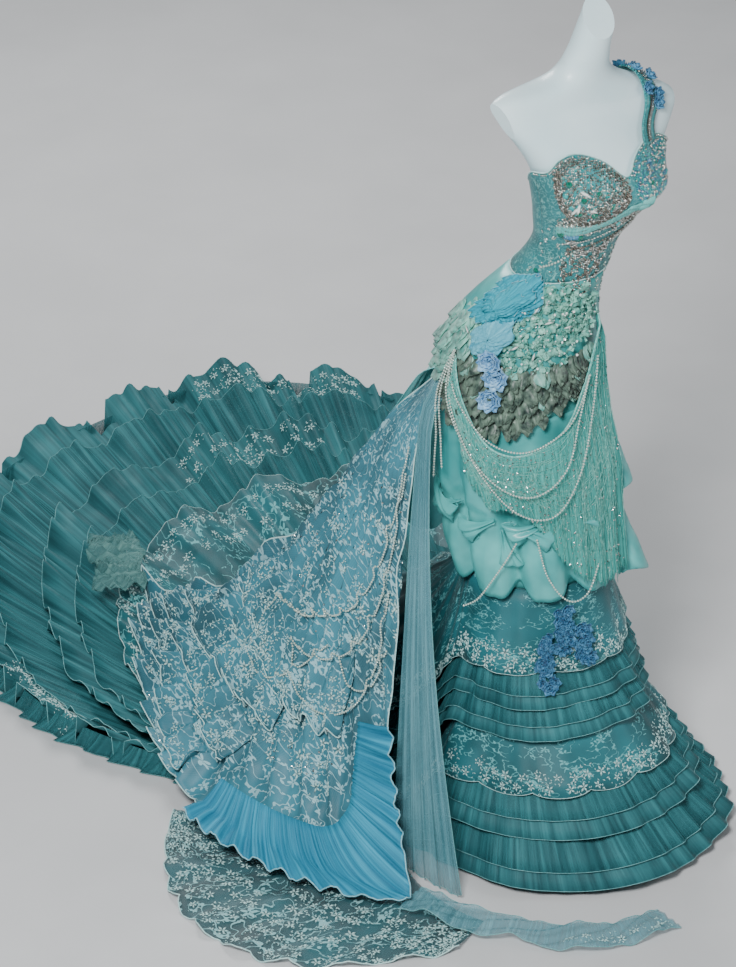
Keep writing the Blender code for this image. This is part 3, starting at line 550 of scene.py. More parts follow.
def lace_finish(name, ground, pale, motif, share=1.0, alpha=None):
    """Embroidered lace: flowers of five petals, curling stems and small leaves in pale thread on net."""
    made = Finish(name, Roughness=0.50, Sheen_Weight=0.04, Specular_IOR_Level=0.35)
    cells = made.add("ShaderNodeTexVoronoi", {"feature": "F1"}, Vector=made.cloth, Scale=1.0 / motif,
                     Randomness=0.75)
    local = made.add("ShaderNodeVectorMath", {"operation": "SUBTRACT"}, i0=made.cloth,
                     i1=cells.outputs["Position"])
    parts = made.add("ShaderNodeSeparateXYZ", None, Vector=local.outputs[0])
    turn = made.math("ARCTAN2", parts.outputs["Y"], parts.outputs["X"])
    reach = made.math("MULTIPLY_ADD", made.math("COSINE", made.math("MULTIPLY", turn, 5.0)), 0.11, 0.24)
    away = cells.outputs["Distance"]
    ring = made.math("LESS_THAN", made.math("ABSOLUTE", made.math("SUBTRACT", away, 0.10)), 0.022)
    bloom = made.math("SUBTRACT", made.math("LESS_THAN", away, reach), ring)
    drift = made.math("ABSOLUTE", made.math("SUBTRACT", made.noise(made.cloth, 1.5 / motif, 0.8), 0.5))
    stem = made.math("LESS_THAN", drift, 0.013)
    small = made.add("ShaderNodeTexVoronoi", {"feature": "F1"}, Vector=made.cloth, Scale=4.2 / motif,
                     Randomness=0.8)
    leaf = made.math("MULTIPLY", made.math("LESS_THAN", small.outputs["Distance"], 0.34),
                     made.math("LESS_THAN", drift, 0.055))
    worked = made.math("MAXIMUM", made.math("MAXIMUM", bloom, stem), leaf)
    patch = made.math("GREATER_THAN", made.noise(made.cloth, 0.45 / motif, 1.0), 0.62 - 0.40 * share)
    worked = made.math("MULTIPLY", worked, patch)
    threads = made.net(0.0022)
    cloud = made.noise(made.place, 7.0, 3.0)
    under = made.ramp(cloud, [(0.36, scaled(ground, 0.6)), (0.64, scaled(ground, 1.4))])
    under = made.mix(made.math("MULTIPLY", threads, 0.08), under, pale)
    colour = made.mix(made.math("MULTIPLY", worked, 0.80), under, pale)
    normal = made.bump(worked, 0.0012, 0.7, made.bump(threads, 0.0002, 0.3))
    if alpha is not None:
        return made.done(Base_Color=colour, Normal=normal,
                         Alpha=made.math("MAXIMUM", worked, made.math("MULTIPLY_ADD", cloud, 0.3, alpha)))
    return made.done(Base_Color=colour, Normal=normal)


def plain_finish(name, dark, light, rough, scale=60.0, bump=0.0006, **inputs):
    made = Finish(name, Roughness=rough, **inputs)
    cloud = made.noise(made.place, scale, 3.0)
    fine = made.noise(made.place, scale * 9.0, 2.0)
    colour = made.ramp(cloud, [(0.34, dark), (0.66, light)])
    return made.done(Base_Color=colour, Normal=made.bump(fine, bump, 0.4))


def metal_finish(name, dark, light, rough, scale=240.0):
    return plain_finish(name, dark, light, rough, scale, 0.0003, Metallic=1.0)


DEEP, TEAL = (0.006, 0.055, 0.066), (0.040, 0.200, 0.220)
F = {
    "form": plain_finish("form_shell", (0.62, 0.82, 0.87), (0.72, 0.90, 0.94), 0.40, 7.0, 0.0002,
                         Coat_Weight=0.15),
    "steel": metal_finish("brushed_steel", (0.50, 0.52, 0.54), (0.70, 0.72, 0.74), 0.32),
    "tulle": tulle_finish("deep_tulle", DEEP, TEAL, 0.011),
    "sheer": tulle_finish("sheer_tulle", scaled(DEEP, 1.4), scaled(TEAL, 1.25), 0.010, (0.30, 0.95)),
    "under": tulle_finish("under_net", scaled(DEEP, 0.8), scaled(TEAL, 0.7), 0.020),
    "satin": satin_finish("aqua_satin", (0.035, 0.300, 0.300), (0.120, 0.540, 0.520), 0.33),
    "pale_satin": satin_finish("pale_satin", (0.120, 0.520, 0.540), (0.280, 0.740, 0.740)),
    "lace": lace_finish("tier_lace", (0.010, 0.105, 0.125), (0.16, 0.50, 0.52), 0.036, 0.40),
    "train_lace": lace_finish("train_lace", (0.030, 0.160, 0.215), (0.36, 0.64, 0.70), 0.042),
    "floor_lace": lace_finish("floor_lace", (0.016, 0.105, 0.125), (0.30, 0.58, 0.60), 0.040, 0.55, 0.35),
    "gauze": tulle_finish("sheer_gauze", (0.08, 0.27, 0.33), (0.22, 0.50, 0.57), 0.010, (0.05, 0.80)),
    "mint": tulle_finish("crinkled_mint", (0.015, 0.20, 0.185), (0.100, 0.48, 0.43), 0.006, (0.70, 1.20)),
    "bodice": lace_finish("bodice_net", (0.030, 0.215, 0.235), (0.22, 0.54, 0.51), 0.016, 0.8),
    "band": tulle_finish("pale_aqua_tulle", (0.06, 0.36, 0.35), (0.26, 0.66, 0.62), 0.005),
    "leaf": plain_finish("leaf_organza", (0.016, 0.038, 0.034), (0.17, 0.26, 0.20), 0.45, 62.0, 0.0004,
                         Sheen_Weight=0.1),
    "pale_leaf": plain_finish("pale_leaf", (0.09, 0.32, 0.28), (0.30, 0.60, 0.50), 0.45, 50.0, 0.0004,
                              Sheen_Weight=0.1),
    "strip": tulle_finish("grey_green_organza", (0.03, 0.13, 0.14), (0.15, 0.34, 0.32), 0.012, (0.15, 1.05)),
    "tuft": plain_finish("mint_tuft", (0.05, 0.31, 0.26), (0.34, 0.72, 0.60), 0.6, 60.0, 0.0004,
                         Sheen_Weight=0.1),
    "blue": tulle_finish("blue_organza", (0.004, 0.10, 0.19), (0.040, 0.38, 0.56), 0.009),
    "rosette": tulle_finish("turquoise_organza", (0.003, 0.15, 0.24), (0.040, 0.48, 0.60), 0.006),
    "puff": tulle_finish("pale_blue_organza", (0.03, 0.26, 0.38), (0.18, 0.58, 0.70), 0.007),
    "lilac": plain_finish("lilac_cloth", (0.10, 0.33, 0.60), (0.36, 0.66, 0.88), 0.55, 60.0, 0.0004,
                          Sheen_Weight=0.1),
    "corn": plain_finish("cornflower_cloth", (0.016, 0.11, 0.25), (0.09, 0.32, 0.52), 0.6, 90.0, 0.0008,
                         Sheen_Weight=0.1),
    "hem": plain_finish("rolled_hem", (0.10, 0.32, 0.34), (0.22, 0.50, 0.51), 0.5, 300.0),
    "blue_hem": plain_finish("blue_rolled_hem", (0.16, 0.46, 0.56), (0.34, 0.66, 0.74), 0.5, 300.0),
    "floss": plain_finish("pale_floss", (0.32, 0.60, 0.60), (0.62, 0.86, 0.84), 0.40, 300.0, 0.0003,
                          Sheen_Weight=0.2),
    "thread": plain_finish("mint_thread", (0.07, 0.38, 0.34), (0.30, 0.70, 0.62), 0.42, 200.0, 0.0003),
    "pearl": plain_finish("pearl", (0.34, 0.45, 0.40), (0.62, 0.72, 0.64), 0.16, 300.0, 0.0001,
                          Coat_Weight=0.6),
    "silver": metal_finish("silver_bead", (0.42, 0.44, 0.42), (0.88, 0.89, 0.84), 0.20),
    "bronze": metal_finish("bronze_bead", (0.09, 0.085, 0.075), (0.36, 0.33, 0.28), 0.28),
    "emerald": plain_finish("emerald_stone", (0.002, 0.08, 0.055), (0.01, 0.24, 0.16), 0.06, 300.0, 0.0001,
                            Coat_Weight=1.0),
    "turquoise": plain_finish("turquoise_stone", (0.01, 0.22, 0.24), (0.06, 0.52, 0.50), 0.10, 300.0,
                              0.0001, Coat_Weight=1.0),
    "sky": plain_finish("blue_stone", (0.02, 0.12, 0.24), (0.10, 0.34, 0.50), 0.12, 300.0, 0.0001,
                        Coat_Weight=1.0),
    "shell": plain_finish("white_shell", (0.66, 0.74, 0.70), (0.90, 0.95, 0.92), 0.14, 200.0, 0.0002,
                          Coat_Weight=0.8),
}


# The dress form and its stand


def dress_form():
    columns, levels = 80, np.linspace(FORM_BOTTOM_Z, FORM_TOP_Z, 110)
    angle, z = np.meshgrid(360.0 * np.arange(columns) / columns, levels)
    grid = on_figure(angle, z, -FORM_INSET * ease((1.58 - z) / 0.06))
    i, j = np.meshgrid(np.arange(len(levels) - 1), np.arange(columns), indexing="ij")
    k = (j + 1) % columns
    faces = np.stack([i * columns + j, i * columns + k, (i + 1) * columns + k, (i + 1) * columns + j], -1)
    made = build("dress_form_shell", grid, faces.reshape(-1, 4), F["form"], "form_white", ("dress_form",))
    mesh = bmesh.new()
    mesh.from_mesh(made.data)
    bmesh.ops.holes_fill(mesh, edges=[e for e in mesh.edges if e.is_boundary], sides=0)
    cuts = (((-0.222, 0.030, 1.685), (-0.94, -0.10, -0.32), 1.440),
            ((0.222, 0.030, 1.597), (0.94, -0.10, -0.32), 1.440),
            ((-0.010, -0.034, 1.815), (0.0, -0.83, 0.56), 1.700))
    for point, normal, above in cuts:
        faces = [f for f in mesh.faces if min(v.co.z for v in f.verts) > above]
        parts = {*faces, *(e for f in faces for e in f.edges), *(v for f in faces for v in f.verts)}
        bmesh.ops.bisect_plane(mesh, geom=list(parts), plane_co=Vector(point) + Vector(GARMENT_AT),
                               plane_no=normal, clear_outer=True, dist=1e-6)
        bmesh.ops.holes_fill(mesh, edges=[e for e in mesh.edges if e.is_boundary], sides=0)
    bmesh.ops.recalc_face_normals(mesh, faces=mesh.faces)
    for face in mesh.faces:
        face.smooth = len(face.verts) < 9
    for edge in mesh.edges:
        edge.smooth = all(len(f.verts) < 9 for f in edge.link_faces)
    mesh.to_mesh(made.data)
    mesh.free()


# The bodice

NECKLINE = [  # angle, height of the bodice's upper edge
    (0, 1.520), (40, 1.465), (90, 1.430), (140, 1.470), (180, 1.518), (205, 1.528), (224, 1.552),
    (240, 1.562), (256, 1.548), (270, 1.518), (282, 1.548), (297, 1.574), (328, 1.556), (360, 1.520),
]
ON_CLOTH = WEAR_EASE + CLOTH


def bodice():
    for name, first, last, columns in (("bodice_front", 180.0, 360.0, 96), ("bodice_back", 0.2, 179.8, 60)):
        angle, v = np.meshgrid(np.linspace(first, last, columns), np.linspace(0, 1, 30))
        top = column(NECKLINE, 1, angle % 360)
        z = top + (WAIST_SEAM_Z - top) * v
        piece = cloth(name + "_cloth", on_figure(angle, z, WEAR_EASE + CLOTH / 2), F["bodice"],
                      "beaded_tulle", (name,))
        lay(piece, "stretched", ["dress_form_shell"])
    angle = np.linspace(0, 360, 300)
    edge = on_figure(angle, column(NECKLINE, 1, angle % 360), ON_CLOTH)
    tube("neckline_binding", [edge], 0.0016, F["floss"], "beaded_tulle")
    waist = on_figure(angle, WAIST_SEAM_Z, ON_CLOTH + 0.0004)
    tube("waist_binding", [waist], 0.0013, F["floss"], "beaded_tulle")


def lay_beads(spots):
    """spots: {finish: [(angle, z, radius)]}, laid on the cloth worn on the figure."""
    for kind, rows in spots.items():
        if not rows:
            continue
        rows = np.array(rows)
        angle, z, size = rows.T
        places = on_figure(angle, z, ON_CLOTH + size * 0.5)
        normals = outward(angle, z, 0.010)
        ups = spin(len(rows))
        shape = {"emerald": STONE, "turquoise": STONE, "sky": STONE, "shell": SHARD}.get(kind, BEAD)
        scatter(f"bodice_{kind}", shape, places, normals, ups, size, F[kind], "beaded_tulle",
                smooth=shape is BEAD)


STONES = [  # angle, height, kind, size, laid out on the cups and under them
    (222, 1.512, "emerald", 0.0066), (231, 1.487, "emerald", 0.0062), (243, 1.500, "emerald", 0.0060),
    (238, 1.455, "emerald", 0.0070), (226, 1.456, "emerald", 0.0062), (252, 1.470, "emerald", 0.0058),
    (216, 1.490, "turquoise", 0.0056), (220, 1.468, "turquoise", 0.0056), (248, 1.522, "turquoise", 0.0050),
    (233, 1.500, "shell", 0.0130), (226, 1.470, "shell", 0.0120), (222, 1.462, "shell", 0.0110),
    (237, 1.466, "shell", 0.0090), (209, 1.392, "emerald", 0.0074), (231, 1.386, "emerald", 0.0066),
    (216, 1.386, "sky", 0.0060), (220, 1.385, "sky", 0.0064), (224.5, 1.385, "sky", 0.0060),
    (228, 1.387, "sky", 0.0056), (268, 1.412, "turquoise", 0.0060), (196, 1.292, "emerald", 0.0060),
    (203, 1.284, "sky", 0.0060), (292, 1.535, "sky", 0.0066), (288, 1.500, "emerald", 0.0056),
    (310, 1.505, "turquoise", 0.0056),
]
STRINGS = [  # first and last angle, first and last height, how far it sags, kind
    (203, 262, 1.412, 1.430, 0.004, "silver"), (205, 258, 1.402, 1.418, 0.005, "bronze"),
    (206, 262, 1.392, 1.410, 0.006, "silver"), (214, 286, 1.362, 1.418, 0.010, "silver"),
    (222, 296, 1.346, 1.398, 0.010, "bronze"), (236, 306, 1.330, 1.384, 0.008, "silver"),
    (262, 300, 1.412, 1.470, 0.004, "silver"), (264, 306, 1.402, 1.452, 0.004, "bronze"),
    (200, 236, 1.300, 1.345, 0.006, "pearl"),
]


def bodice_beads():
    """Beads by region: two cups, strings under the bust, two pointed appliques and a light sprinkle."""
    spots = {k: [] for k in ("silver", "bronze", "emerald", "turquoise", "sky", "shell", "pearl")}
    step = 0.0041
    z = np.arange(1.165, 1.578, step * 0.87)
    arc = np.arange(0.0, 0.350, step)
    arc, z = np.meshgrid(arc, z)
    arc = arc + (np.arange(len(arc)) % 2 * step / 2)[:, None] + rng.uniform(-0.2, 0.2, arc.shape) * step
    z = z + rng.uniform(-0.2, 0.2, z.shape) * step
    around = curve(FIGURE[:, 0], (FIGURE[:, 3] + FIGURE[:, 4]) / 2, z) + 0.012
    angle = 180.0 + np.degrees(arc / around)
    fine = (angle < 360) & (z < column(NECKLINE, 1, np.minimum(angle, 360)) - 0.003)
    pick, other = rng.uniform(size=z.shape), rng.uniform(size=z.shape)
    right = np.hypot((angle - 237) / 32, (z - 1.488) / 0.067)
    left = np.hypot((angle - 303) / 29, (z - 1.500) / 0.066)
    tip_a = np.abs(angle - 232 - 70 * (z - 1.245)) < 17 * ease((z - 1.240) / 0.095)
    tip_a = tip_a & (z > 1.242) & (z < 1.352)
    tip_b = np.abs(angle - 272 + 60 * (z - 1.17)) < 17 * ease((z - 1.165) / 0.120)
    tip_b = tip_b & (z > 1.168) & (z < 1.345)
    vee = np.abs(np.abs(angle - 252) - 420 * np.maximum(z - 1.30, 0)) < 5.5
    swirl = np.sin(angle * 0.42 + 150 * z) + np.sin(190 * z - angle * 0.23)
    regions = (  # where, up to which draw each kind is laid, share of places filled, radius
        (right < 0.80, [(0.40, "bronze"), (0.86, "silver"), (0.93, "turquoise"), (1.0, "pearl")], 0.94,
         0.0022),
        (right < 1.02, [(0.70, "bronze"), (1.0, "silver")], 1.0, 0.0024),
        (left < 1.0, [(0.46, "turquoise"), (0.72, "sky"), (0.94, "silver"), (1.0, "pearl")], 0.95, 0.0025),
        ((z > 1.405) & (z < 1.436) & (angle > 203), [(0.42, "silver"), (0.80, "bronze"), (1.0, "pearl")],
         0.75, 0.0022),
        ((tip_a | tip_b) & (swirl > -0.55), [(0.50, "silver"), (0.95, "bronze"), (1.0, "turquoise")], 0.92,
         0.0021),
        (vee & (z > 1.30) & (z < 1.40), [(0.6, "silver"), (1.0, "bronze")], 0.9, 0.0021),
        ((z < 1.40) & (swirl > 0.95), [(0.5, "silver"), (0.8, "pearl"), (1.0, "turquoise")], 0.55, 0.0018),
        ((angle > 318) & (z > 1.27), [(0.7, "silver"), (1.0, "pearl")], 0.30, 0.0017),
    )
    for inside, kinds, share, size in regions:
        for limit, kind in kinds:
            here = fine & inside & (pick < limit) & (other < share)
            spots[kind] += [(a, h, size * rng.uniform(0.85, 1.15)) for a, h in zip(angle[here], z[here])]
            fine = fine & ~here
        fine = fine & ~inside
    for k in range(80):                                   # the string of beads round the neckline
        angle = 182 + 176 * k / 79
        kind = "turquoise" if k % 5 == 0 else "silver"
        spots[kind].append((angle, float(column(NECKLINE, 1, angle)) - 0.004, 0.0026))
    for first, last, high, low, sag, kind in STRINGS:
        n = int((last - first) * 0.37)
        for k in range(n):
            t = k / (n - 1)
            height = high + (low - high) * t - sag * math.sin(math.pi * t)
            spots[kind].append((first + (last - first) * t, height, 0.0028))
    for angle, height, kind, size in STONES:
        spots[kind].append((angle, height, size))
    lay_beads(spots)


def bust_band():
    """A narrow band of pale tulle, gathered under the cup and tied at its left end."""
    t, w = np.meshgrid(np.linspace(0, 1, 90), np.linspace(-0.5, 0.5, 13))
    angle = 203 + 84 * t
    middle = 1.402 + 0.050 * ease(t) - 0.012 * np.sin(np.pi * t)
    wide = 0.026 + 0.006 * np.sin(9 * t) - 0.014 * ease((t - 0.75) / 0.25)
    folds = 0.0013 * cosine(3.0 * w + 1.3 * np.sin(7 * t) + 2 * t)
    out = ON_CLOTH + 0.0010 + 0.0026 * (1 - (2 * w) ** 4) + folds
    grid = on_figure(angle, middle + wide * w, out)
    piece = cloth("bust_band_cloth", grid, F["band"], "beaded_tulle")
    r, turn = np.meshgrid(np.linspace(0.05, 1, 7), np.arange(48) / 48, indexing="ij")
    reach = 0.014 * r * (1 + 0.16 * cosine(5 * turn))
    at = on_figure(287 + np.degrees(reach * np.cos(2 * np.pi * turn) / 0.12),
                   1.452 - reach * 1.3 * np.sin(2 * np.pi * turn),
                   ON_CLOTH + 0.003 + 0.009 * (1 - r * r) + 0.0018 * cosine(9 * turn + r))
    knot = cloth("bust_knot_cloth", at, F["band"], "beaded_tulle", around=True)
    lay(piece, "gathered", ["bodice_front_cloth"])
    lay(knot, "gathered", ["bust_band_cloth"])


STRAP_TOP_X, STRAP_END_X, STRAP_WIDTH = 0.135, 0.088, 0.040
STRAP_Y, STRAP_Z = -0.006, 1.560
STRAP_FIRST, STRAP_LAST = -190.0, 34.0
STRAP_CLEAR, STRAP_OVER_BODICE = 0.0070, 0.0100


def inside_figure(p):
    z = p[:, 2]
    for _ in range(6):
        tilt, cx = curve(FIGURE[:, 0], FIGURE[:, 5], z), curve(FIGURE[:, 0], FIGURE[:, 1], z)
        z = p[:, 2] + tilt * (p[:, 0] - cx)
    cx, cy, a, b = (curve(FIGURE[:, 0], FIGURE[:, k], z) for k in range(1, 5))
    angle = np.degrees(np.arctan2((p[:, 1] - cy) / b, (p[:, 0] - cx) / a))
    rise = np.exp(-(((z - BUST_Z) / BUST_HEIGHT) ** 2))
    reach = BUST_REACH * rise * sum(np.exp(-(((angle % 360 - c) / BUST_SPREAD) ** 2)) for c in BUST_ANGLES)
    return ((p[:, 0] - cx) / (a + reach)) ** 2 + ((p[:, 1] - cy) / (b + reach)) ** 2 < 1.0


def strap_grid(rows, columns, off=0.0):
    t, across = np.meshgrid(np.linspace(0, 1, rows), np.linspace(-0.5, 0.5, columns), indexing="ij")
    turn = np.radians(STRAP_FIRST + (STRAP_LAST - STRAP_FIRST) * t)
    way = stack(0 * turn, np.cos(turn), -np.sin(turn))
    end = np.minimum(t, 1 - t)
    clear = STRAP_CLEAR + (STRAP_OVER_BODICE - STRAP_CLEAR) * (1.0 - ease(end / 0.25)) + off
    x = STRAP_END_X + (STRAP_TOP_X - STRAP_END_X) * ease(end / 0.4) + across * STRAP_WIDTH
    centre = stack(x, STRAP_Y + 0 * x, STRAP_Z + 0 * x).reshape(-1, 3)
    flat_way = way.reshape(-1, 3)
    low, high = np.zeros(len(centre)), np.full(len(centre), 0.4)
    for _ in range(24):
        middle = (low + high) / 2
        inside = inside_figure(centre + flat_way * middle[:, None])
        low, high = np.where(inside, middle, low), np.where(inside, high, middle)
    return (centre + flat_way * (low + clear.ravel())[:, None]).reshape(rows, columns, 3)


def flower(places, normals, radius, petals, whorls, finish, name, slot, nodes=()):
    """Fluffy cloth flowers: whorls of small waved petals that stand up towards the middle."""
    shape = petal_shape(0.42, 0.30, 0.10)
    spots, ways, ups, sizes = [], [], [], []
    for place, normal, r in zip(places, normals, np.broadcast_to(radius, (len(places),))):
        side = unit(np.cross(normal, (0.3, 0.2, 1.0)))
        other = np.cross(normal, side)
        for ring in range(whorls):
            count = max(petals - ring, 3)
            for k in range(count):
                turn = 2 * math.pi * (k + 0.5 * ring + 0.15 * rng.uniform()) / count
                out = side * math.cos(turn) + other * math.sin(turn)
                lean = 0.25 + 0.75 * ring / max(whorls - 1, 1) + 0.12 * rng.uniform()
                spots.append(place + out * r * 0.10 + normal * r * 0.05 * ring)
                ups.append(out * math.cos(lean) + normal * math.sin(lean))
                ways.append(normal * math.cos(lean) - out * math.sin(lean))
                sizes.append(r * (1.0 - 0.20 * ring) * rng.uniform(0.9, 1.08))
    args = (np.array(v) for v in (spots, ways, ups, sizes))
    return scatter(name, shape, *args, finish, slot, nodes=nodes)


def shoulder_strap():
    grid = strap_grid(90, 9)
    piece = cloth("shoulder_strap_cloth", grid, F["bodice"], "beaded_tulle", ("shoulder_strap",))
    lay(piece, "stretched", ["dress_form_shell"])
    top = Surface(grid)
    facing = np.sign(np.sum(top.at(0.5, np.array([0.5]))[1][0] * (0, 0, 1)))
    n = 62
    v = np.linspace(0.02, 0.98, n)
    for name, us, kind, size in (("strap_stones", 0.5, "silver", 0.0030),
                                 ("strap_beads_a", 0.40, "bronze", 0.0022),
                                 ("strap_beads_b", 0.60, "silver", 0.0022),
                                 ("strap_beads_c", 0.06, "turquoise", 0.0018),
                                 ("strap_beads_d", 0.94, "silver", 0.0018)):
        places, normal, *_ = top.at(us, v, facing * 0.0022)
        scatter(name, STONE if size > 0.0029 else BEAD, places, normal * facing, spin(n), size, F[kind],
                "beaded_tulle", smooth=False)
    spots = np.array([(0.20, 0.50), (0.80, 0.47), (0.85, 0.38), (0.18, 0.40), (0.80, 0.30), (0.15, 0.60),
                      (0.84, 0.62)])
    places, normal, *_ = top.at(spots[:, 0], spots[:, 1], facing * 0.002)
    flower(places, normal * facing, 0.0165, 6, 3, F["corn"], "strap_flowers", "flower_cloth")


# The skirt below the knee

TIERS = [  # name, start and end share, waves, gap, lace, shares of its length at which its layers end
    ("tier_1_lace", 0.00, 0.30, 10, 0.0060, True, (1.0,)),
    ("tier_2_tulle", 0.23, 0.42, 14, 0.0060, False, (1.0, 0.74)),
    ("tier_3_tulle", 0.34, 0.53, 16, 0.0055, False, (1.0, 0.74)),
    ("tier_4_lace", 0.46, 0.72, 18, 0.0060, True, (1.0,)),
    ("tier_5_tulle", 0.64, 0.85, 20, 0.0060, False, (1.0, 0.72)),
    ("tier_6_tulle", 0.78, 1.00, 22, 0.0055, False, (1.0, 0.76)),
]
CALM_GAP = 0.0072


def spread(angle):
    return ease((angle % 360 - 20.0) / 46.0) * ease((176.0 - angle % 360) / 50.0)


def far_end(angle):
    return spread(angle) * ease((124.0 - angle) / 22.0) * ease((angle - 50.0) / 22.0)


def calm(angle):
    return ease((angle % 360 - 16.0) / 10.0) * ease((68.0 - angle % 360) / 14.0)


def skirt(angle, share):
    angle, share = np.broadcast_arrays(np.asarray(angle, float), np.asarray(share, float))
    m = spread(angle)
    fall = np.maximum(0.0, 1.0 - share / (1.0 - 0.42 * m)) ** (1.0 + 0.9 * m)
    out = np.maximum(share, 0.0) ** (2.1 - 0.95 * m)
    knee = on_figure(angle, KNEE_Z, WEAR_EASE)
    g = column(FLOOR_OUTLINE, 1, angle % 360)
    c, d = np.cos(np.radians(angle)), np.sin(np.radians(angle))
    return stack(knee[..., 0] + (g * c - knee[..., 0]) * out, knee[..., 1] + (g * d - knee[..., 1]) * out,
                 KNEE_Z * fall)


def above_skirt(angle, share, height):
    """Points height metres outside the underskirt, straight up or outwards but never sideways."""
    angle, share, height = np.broadcast_arrays(*(np.asarray(p, float) for p in (angle, share, height)))
    along = skirt(angle + 0.5, share) - skirt(angle - 0.5, share)
    down = skirt(angle, np.minimum(share + 0.004, 1.0)) - skirt(angle, np.maximum(share - 0.004, 0.0))
    n = np.cross(down, along)
    sideways = stack(-np.sin(np.radians(angle)), np.cos(np.radians(angle)), 0.0)
    n = unit(n - sideways * np.sum(n * sideways, -1, keepdims=True))
    return skirt(angle, share) + n * height[..., None]


def even_angles(count, share):
    fine = np.linspace(0.0, 360.0, 2881)
    line = skirt(fine, share)
    length = np.concatenate([[0.0], np.cumsum(np.linalg.norm(np.diff(line, axis=0), axis=1))])
    return np.interp(np.linspace(0.0, length[-1], count, endpoint=False), length, fine), length[-1]


def tier_grid(row, layer, rows, per_wave):
    """One gathered tier: broad waves as in the solid, with finer uneven gathers between them."""
    name, start, end, waves, gap, lace, _ = row
    columns = per_wave * waves
    angle, round_length = even_angles(columns, end)
    t = np.arange(columns) / columns
    v = np.linspace(0, 1, rows)[:, None]
    last = end - (end - start) * (1 - layer)
    if lace:
        scallops = round(round_length / 0.105)
        last = last - 0.016 * (1 - np.abs(np.sin(np.pi * scallops * t)) ** 0.7) * (1 - 0.5 * spread(angle))
    else:
        last = last + 0.012 * spread(angle) * ripple(t, 0.031, 40 + waves) * (1 - 0.5 * far_end(angle))
    share = start + (last - start) * v
    s = (share - start) / (end - start)
    lift = (0.034 + 0.026 * spread(angle) + 0.040 * far_end(angle)) * s ** 0.85
    calmness = 1 - 0.9 * calm(angle)
    broad = (0.008 - 0.002 * spread(angle) + 0.018 * far_end(angle)) * cosine(waves * t) * s
    fine_count = max(round(round_length / 0.060), 2 * waves)
    jitter = 0.3 * np.sin(2 * np.pi * 7 * t) + 0.2 * np.sin(2 * np.pi * 17 * t + 1)
    fine = cosine(fine_count * t + jitter) * (0.60 + 0.40 * cosine(5 * t + 0.2 * v))
    fine = fine * (0.0085 + 0.0035 * spread(angle)) * (0.30 + 0.70 * v) * (0.5 if lace else 1.0)
    curl = 0.016 * spread(angle) * np.maximum(ripple(t, 0.0135, 60 + waves), 0) * ease((v - 0.62) / 0.38)
    fine = fine + curl * (0.4 if lace else 1.0)
    above = (1 - layer) * 0.030
    height = gap + CALM_GAP * calm(angle) + above + lift + (broad + fine) * calmness
    grid = above_skirt(angle[None], share, height)
    grid[..., 2] = np.maximum(grid[..., 2], 0.0012)
    return grid


def tiers():
    for row in TIERS:
        name, lace, layers, waves = row[0], row[5], row[6], row[3]
        for number, layer in enumerate(layers):
            per_wave = {10: 44, 14: 36, 16: 38, 18: 40, 20: 40, 22: 40}[waves]
            grid = tier_grid(row, layer, 7 if number == 0 else 5, per_wave)
            piece_name = f"{name}_cloth" if number == 0 else f"{name}_upper_layer"
            finish = F["lace"] if lace else F["tulle"] if number == 0 else F["sheer"]
            slot = "lace" if lace else "tulle"
            piece = cloth(piece_name, grid, finish, slot, (name,) if number == 0 else (), around=True)
            hem = np.concatenate([grid[-1], grid[-1, :1]])
            trim = tube(piece_name + "_hem", [hem], 0.0011, F["floss" if lace else "hem"], slot, sides=3)
            lay(piece, "gathered", ["underskirt_cloth"], [trim])
            if lace:
                embroider(name, grid, slot, around=True, seed=len(name) + waves)
            elif number == 0:
                hem_angles = np.degrees(np.arctan2(grid[-1, :, 1], grid[-1, :, 0])) % 360

                def back(u, v):
                    here = hem_angles[int(u * len(hem_angles)) % len(hem_angles)]
                    return 38 < here < 150 and patchy(u * waves)

                embroider(name, grid, slot, around=True, seed=100 + waves, rows=(0.35, 0.97), pitch=0.036,
                          size=0.0056, keep=back)


def hem_flounce():
    """The train's sheer edge, gathered under the lowest tier's hem and falling to the floor."""
    angle, _ = even_angles(900, 1.0)
    angle = np.sort(angle[(angle > 36.0) & (angle < 184.0)])
    t, w = np.linspace(0, 1, len(angle)), np.linspace(0, 1, 5)[:, None]
    ends = ease(t / 0.08) * ease((1 - t) / 0.08)
    top = above_skirt(angle, np.full(len(angle), 0.985),
                      0.026 + 0.026 * spread(angle) + 0.038 * far_end(angle))
    out = stack(np.cos(np.radians(angle)), np.sin(np.radians(angle)), 0.0)
    reach = (0.008 + 0.026 * np.maximum(ripple(t, 0.016, 97), 0.0)) * ends
    foot = skirt(angle, 1.0) + out * reach[:, None] + stack(0.0, 0.0, 0.003)
    grid = top[None] + (foot - top)[None] * w[..., None] ** np.array([1.0, 1.0, 0.8])
    grid = grid + out[None] * (0.010 * cosine(58 * t + 0.4 * np.sin(40 * t)) * w * ends)[..., None]
    grid[..., 2] = np.maximum(grid[..., 2], 0.003)
    piece = cloth("train_edge_cloth", grid, F["sheer"], "tulle")
    hem = tube("train_edge_hem", [grid[-1]], 0.0011, F["hem"], "tulle", sides=3)
    lay(piece, "gathered", ["tier_6_tulle_cloth"], [hem])


def patchy(x):
    """True over about a third of x, in uneven runs."""
    return math.sin(1.9 * x) + math.sin(0.83 * x + 1.0) > 0.75


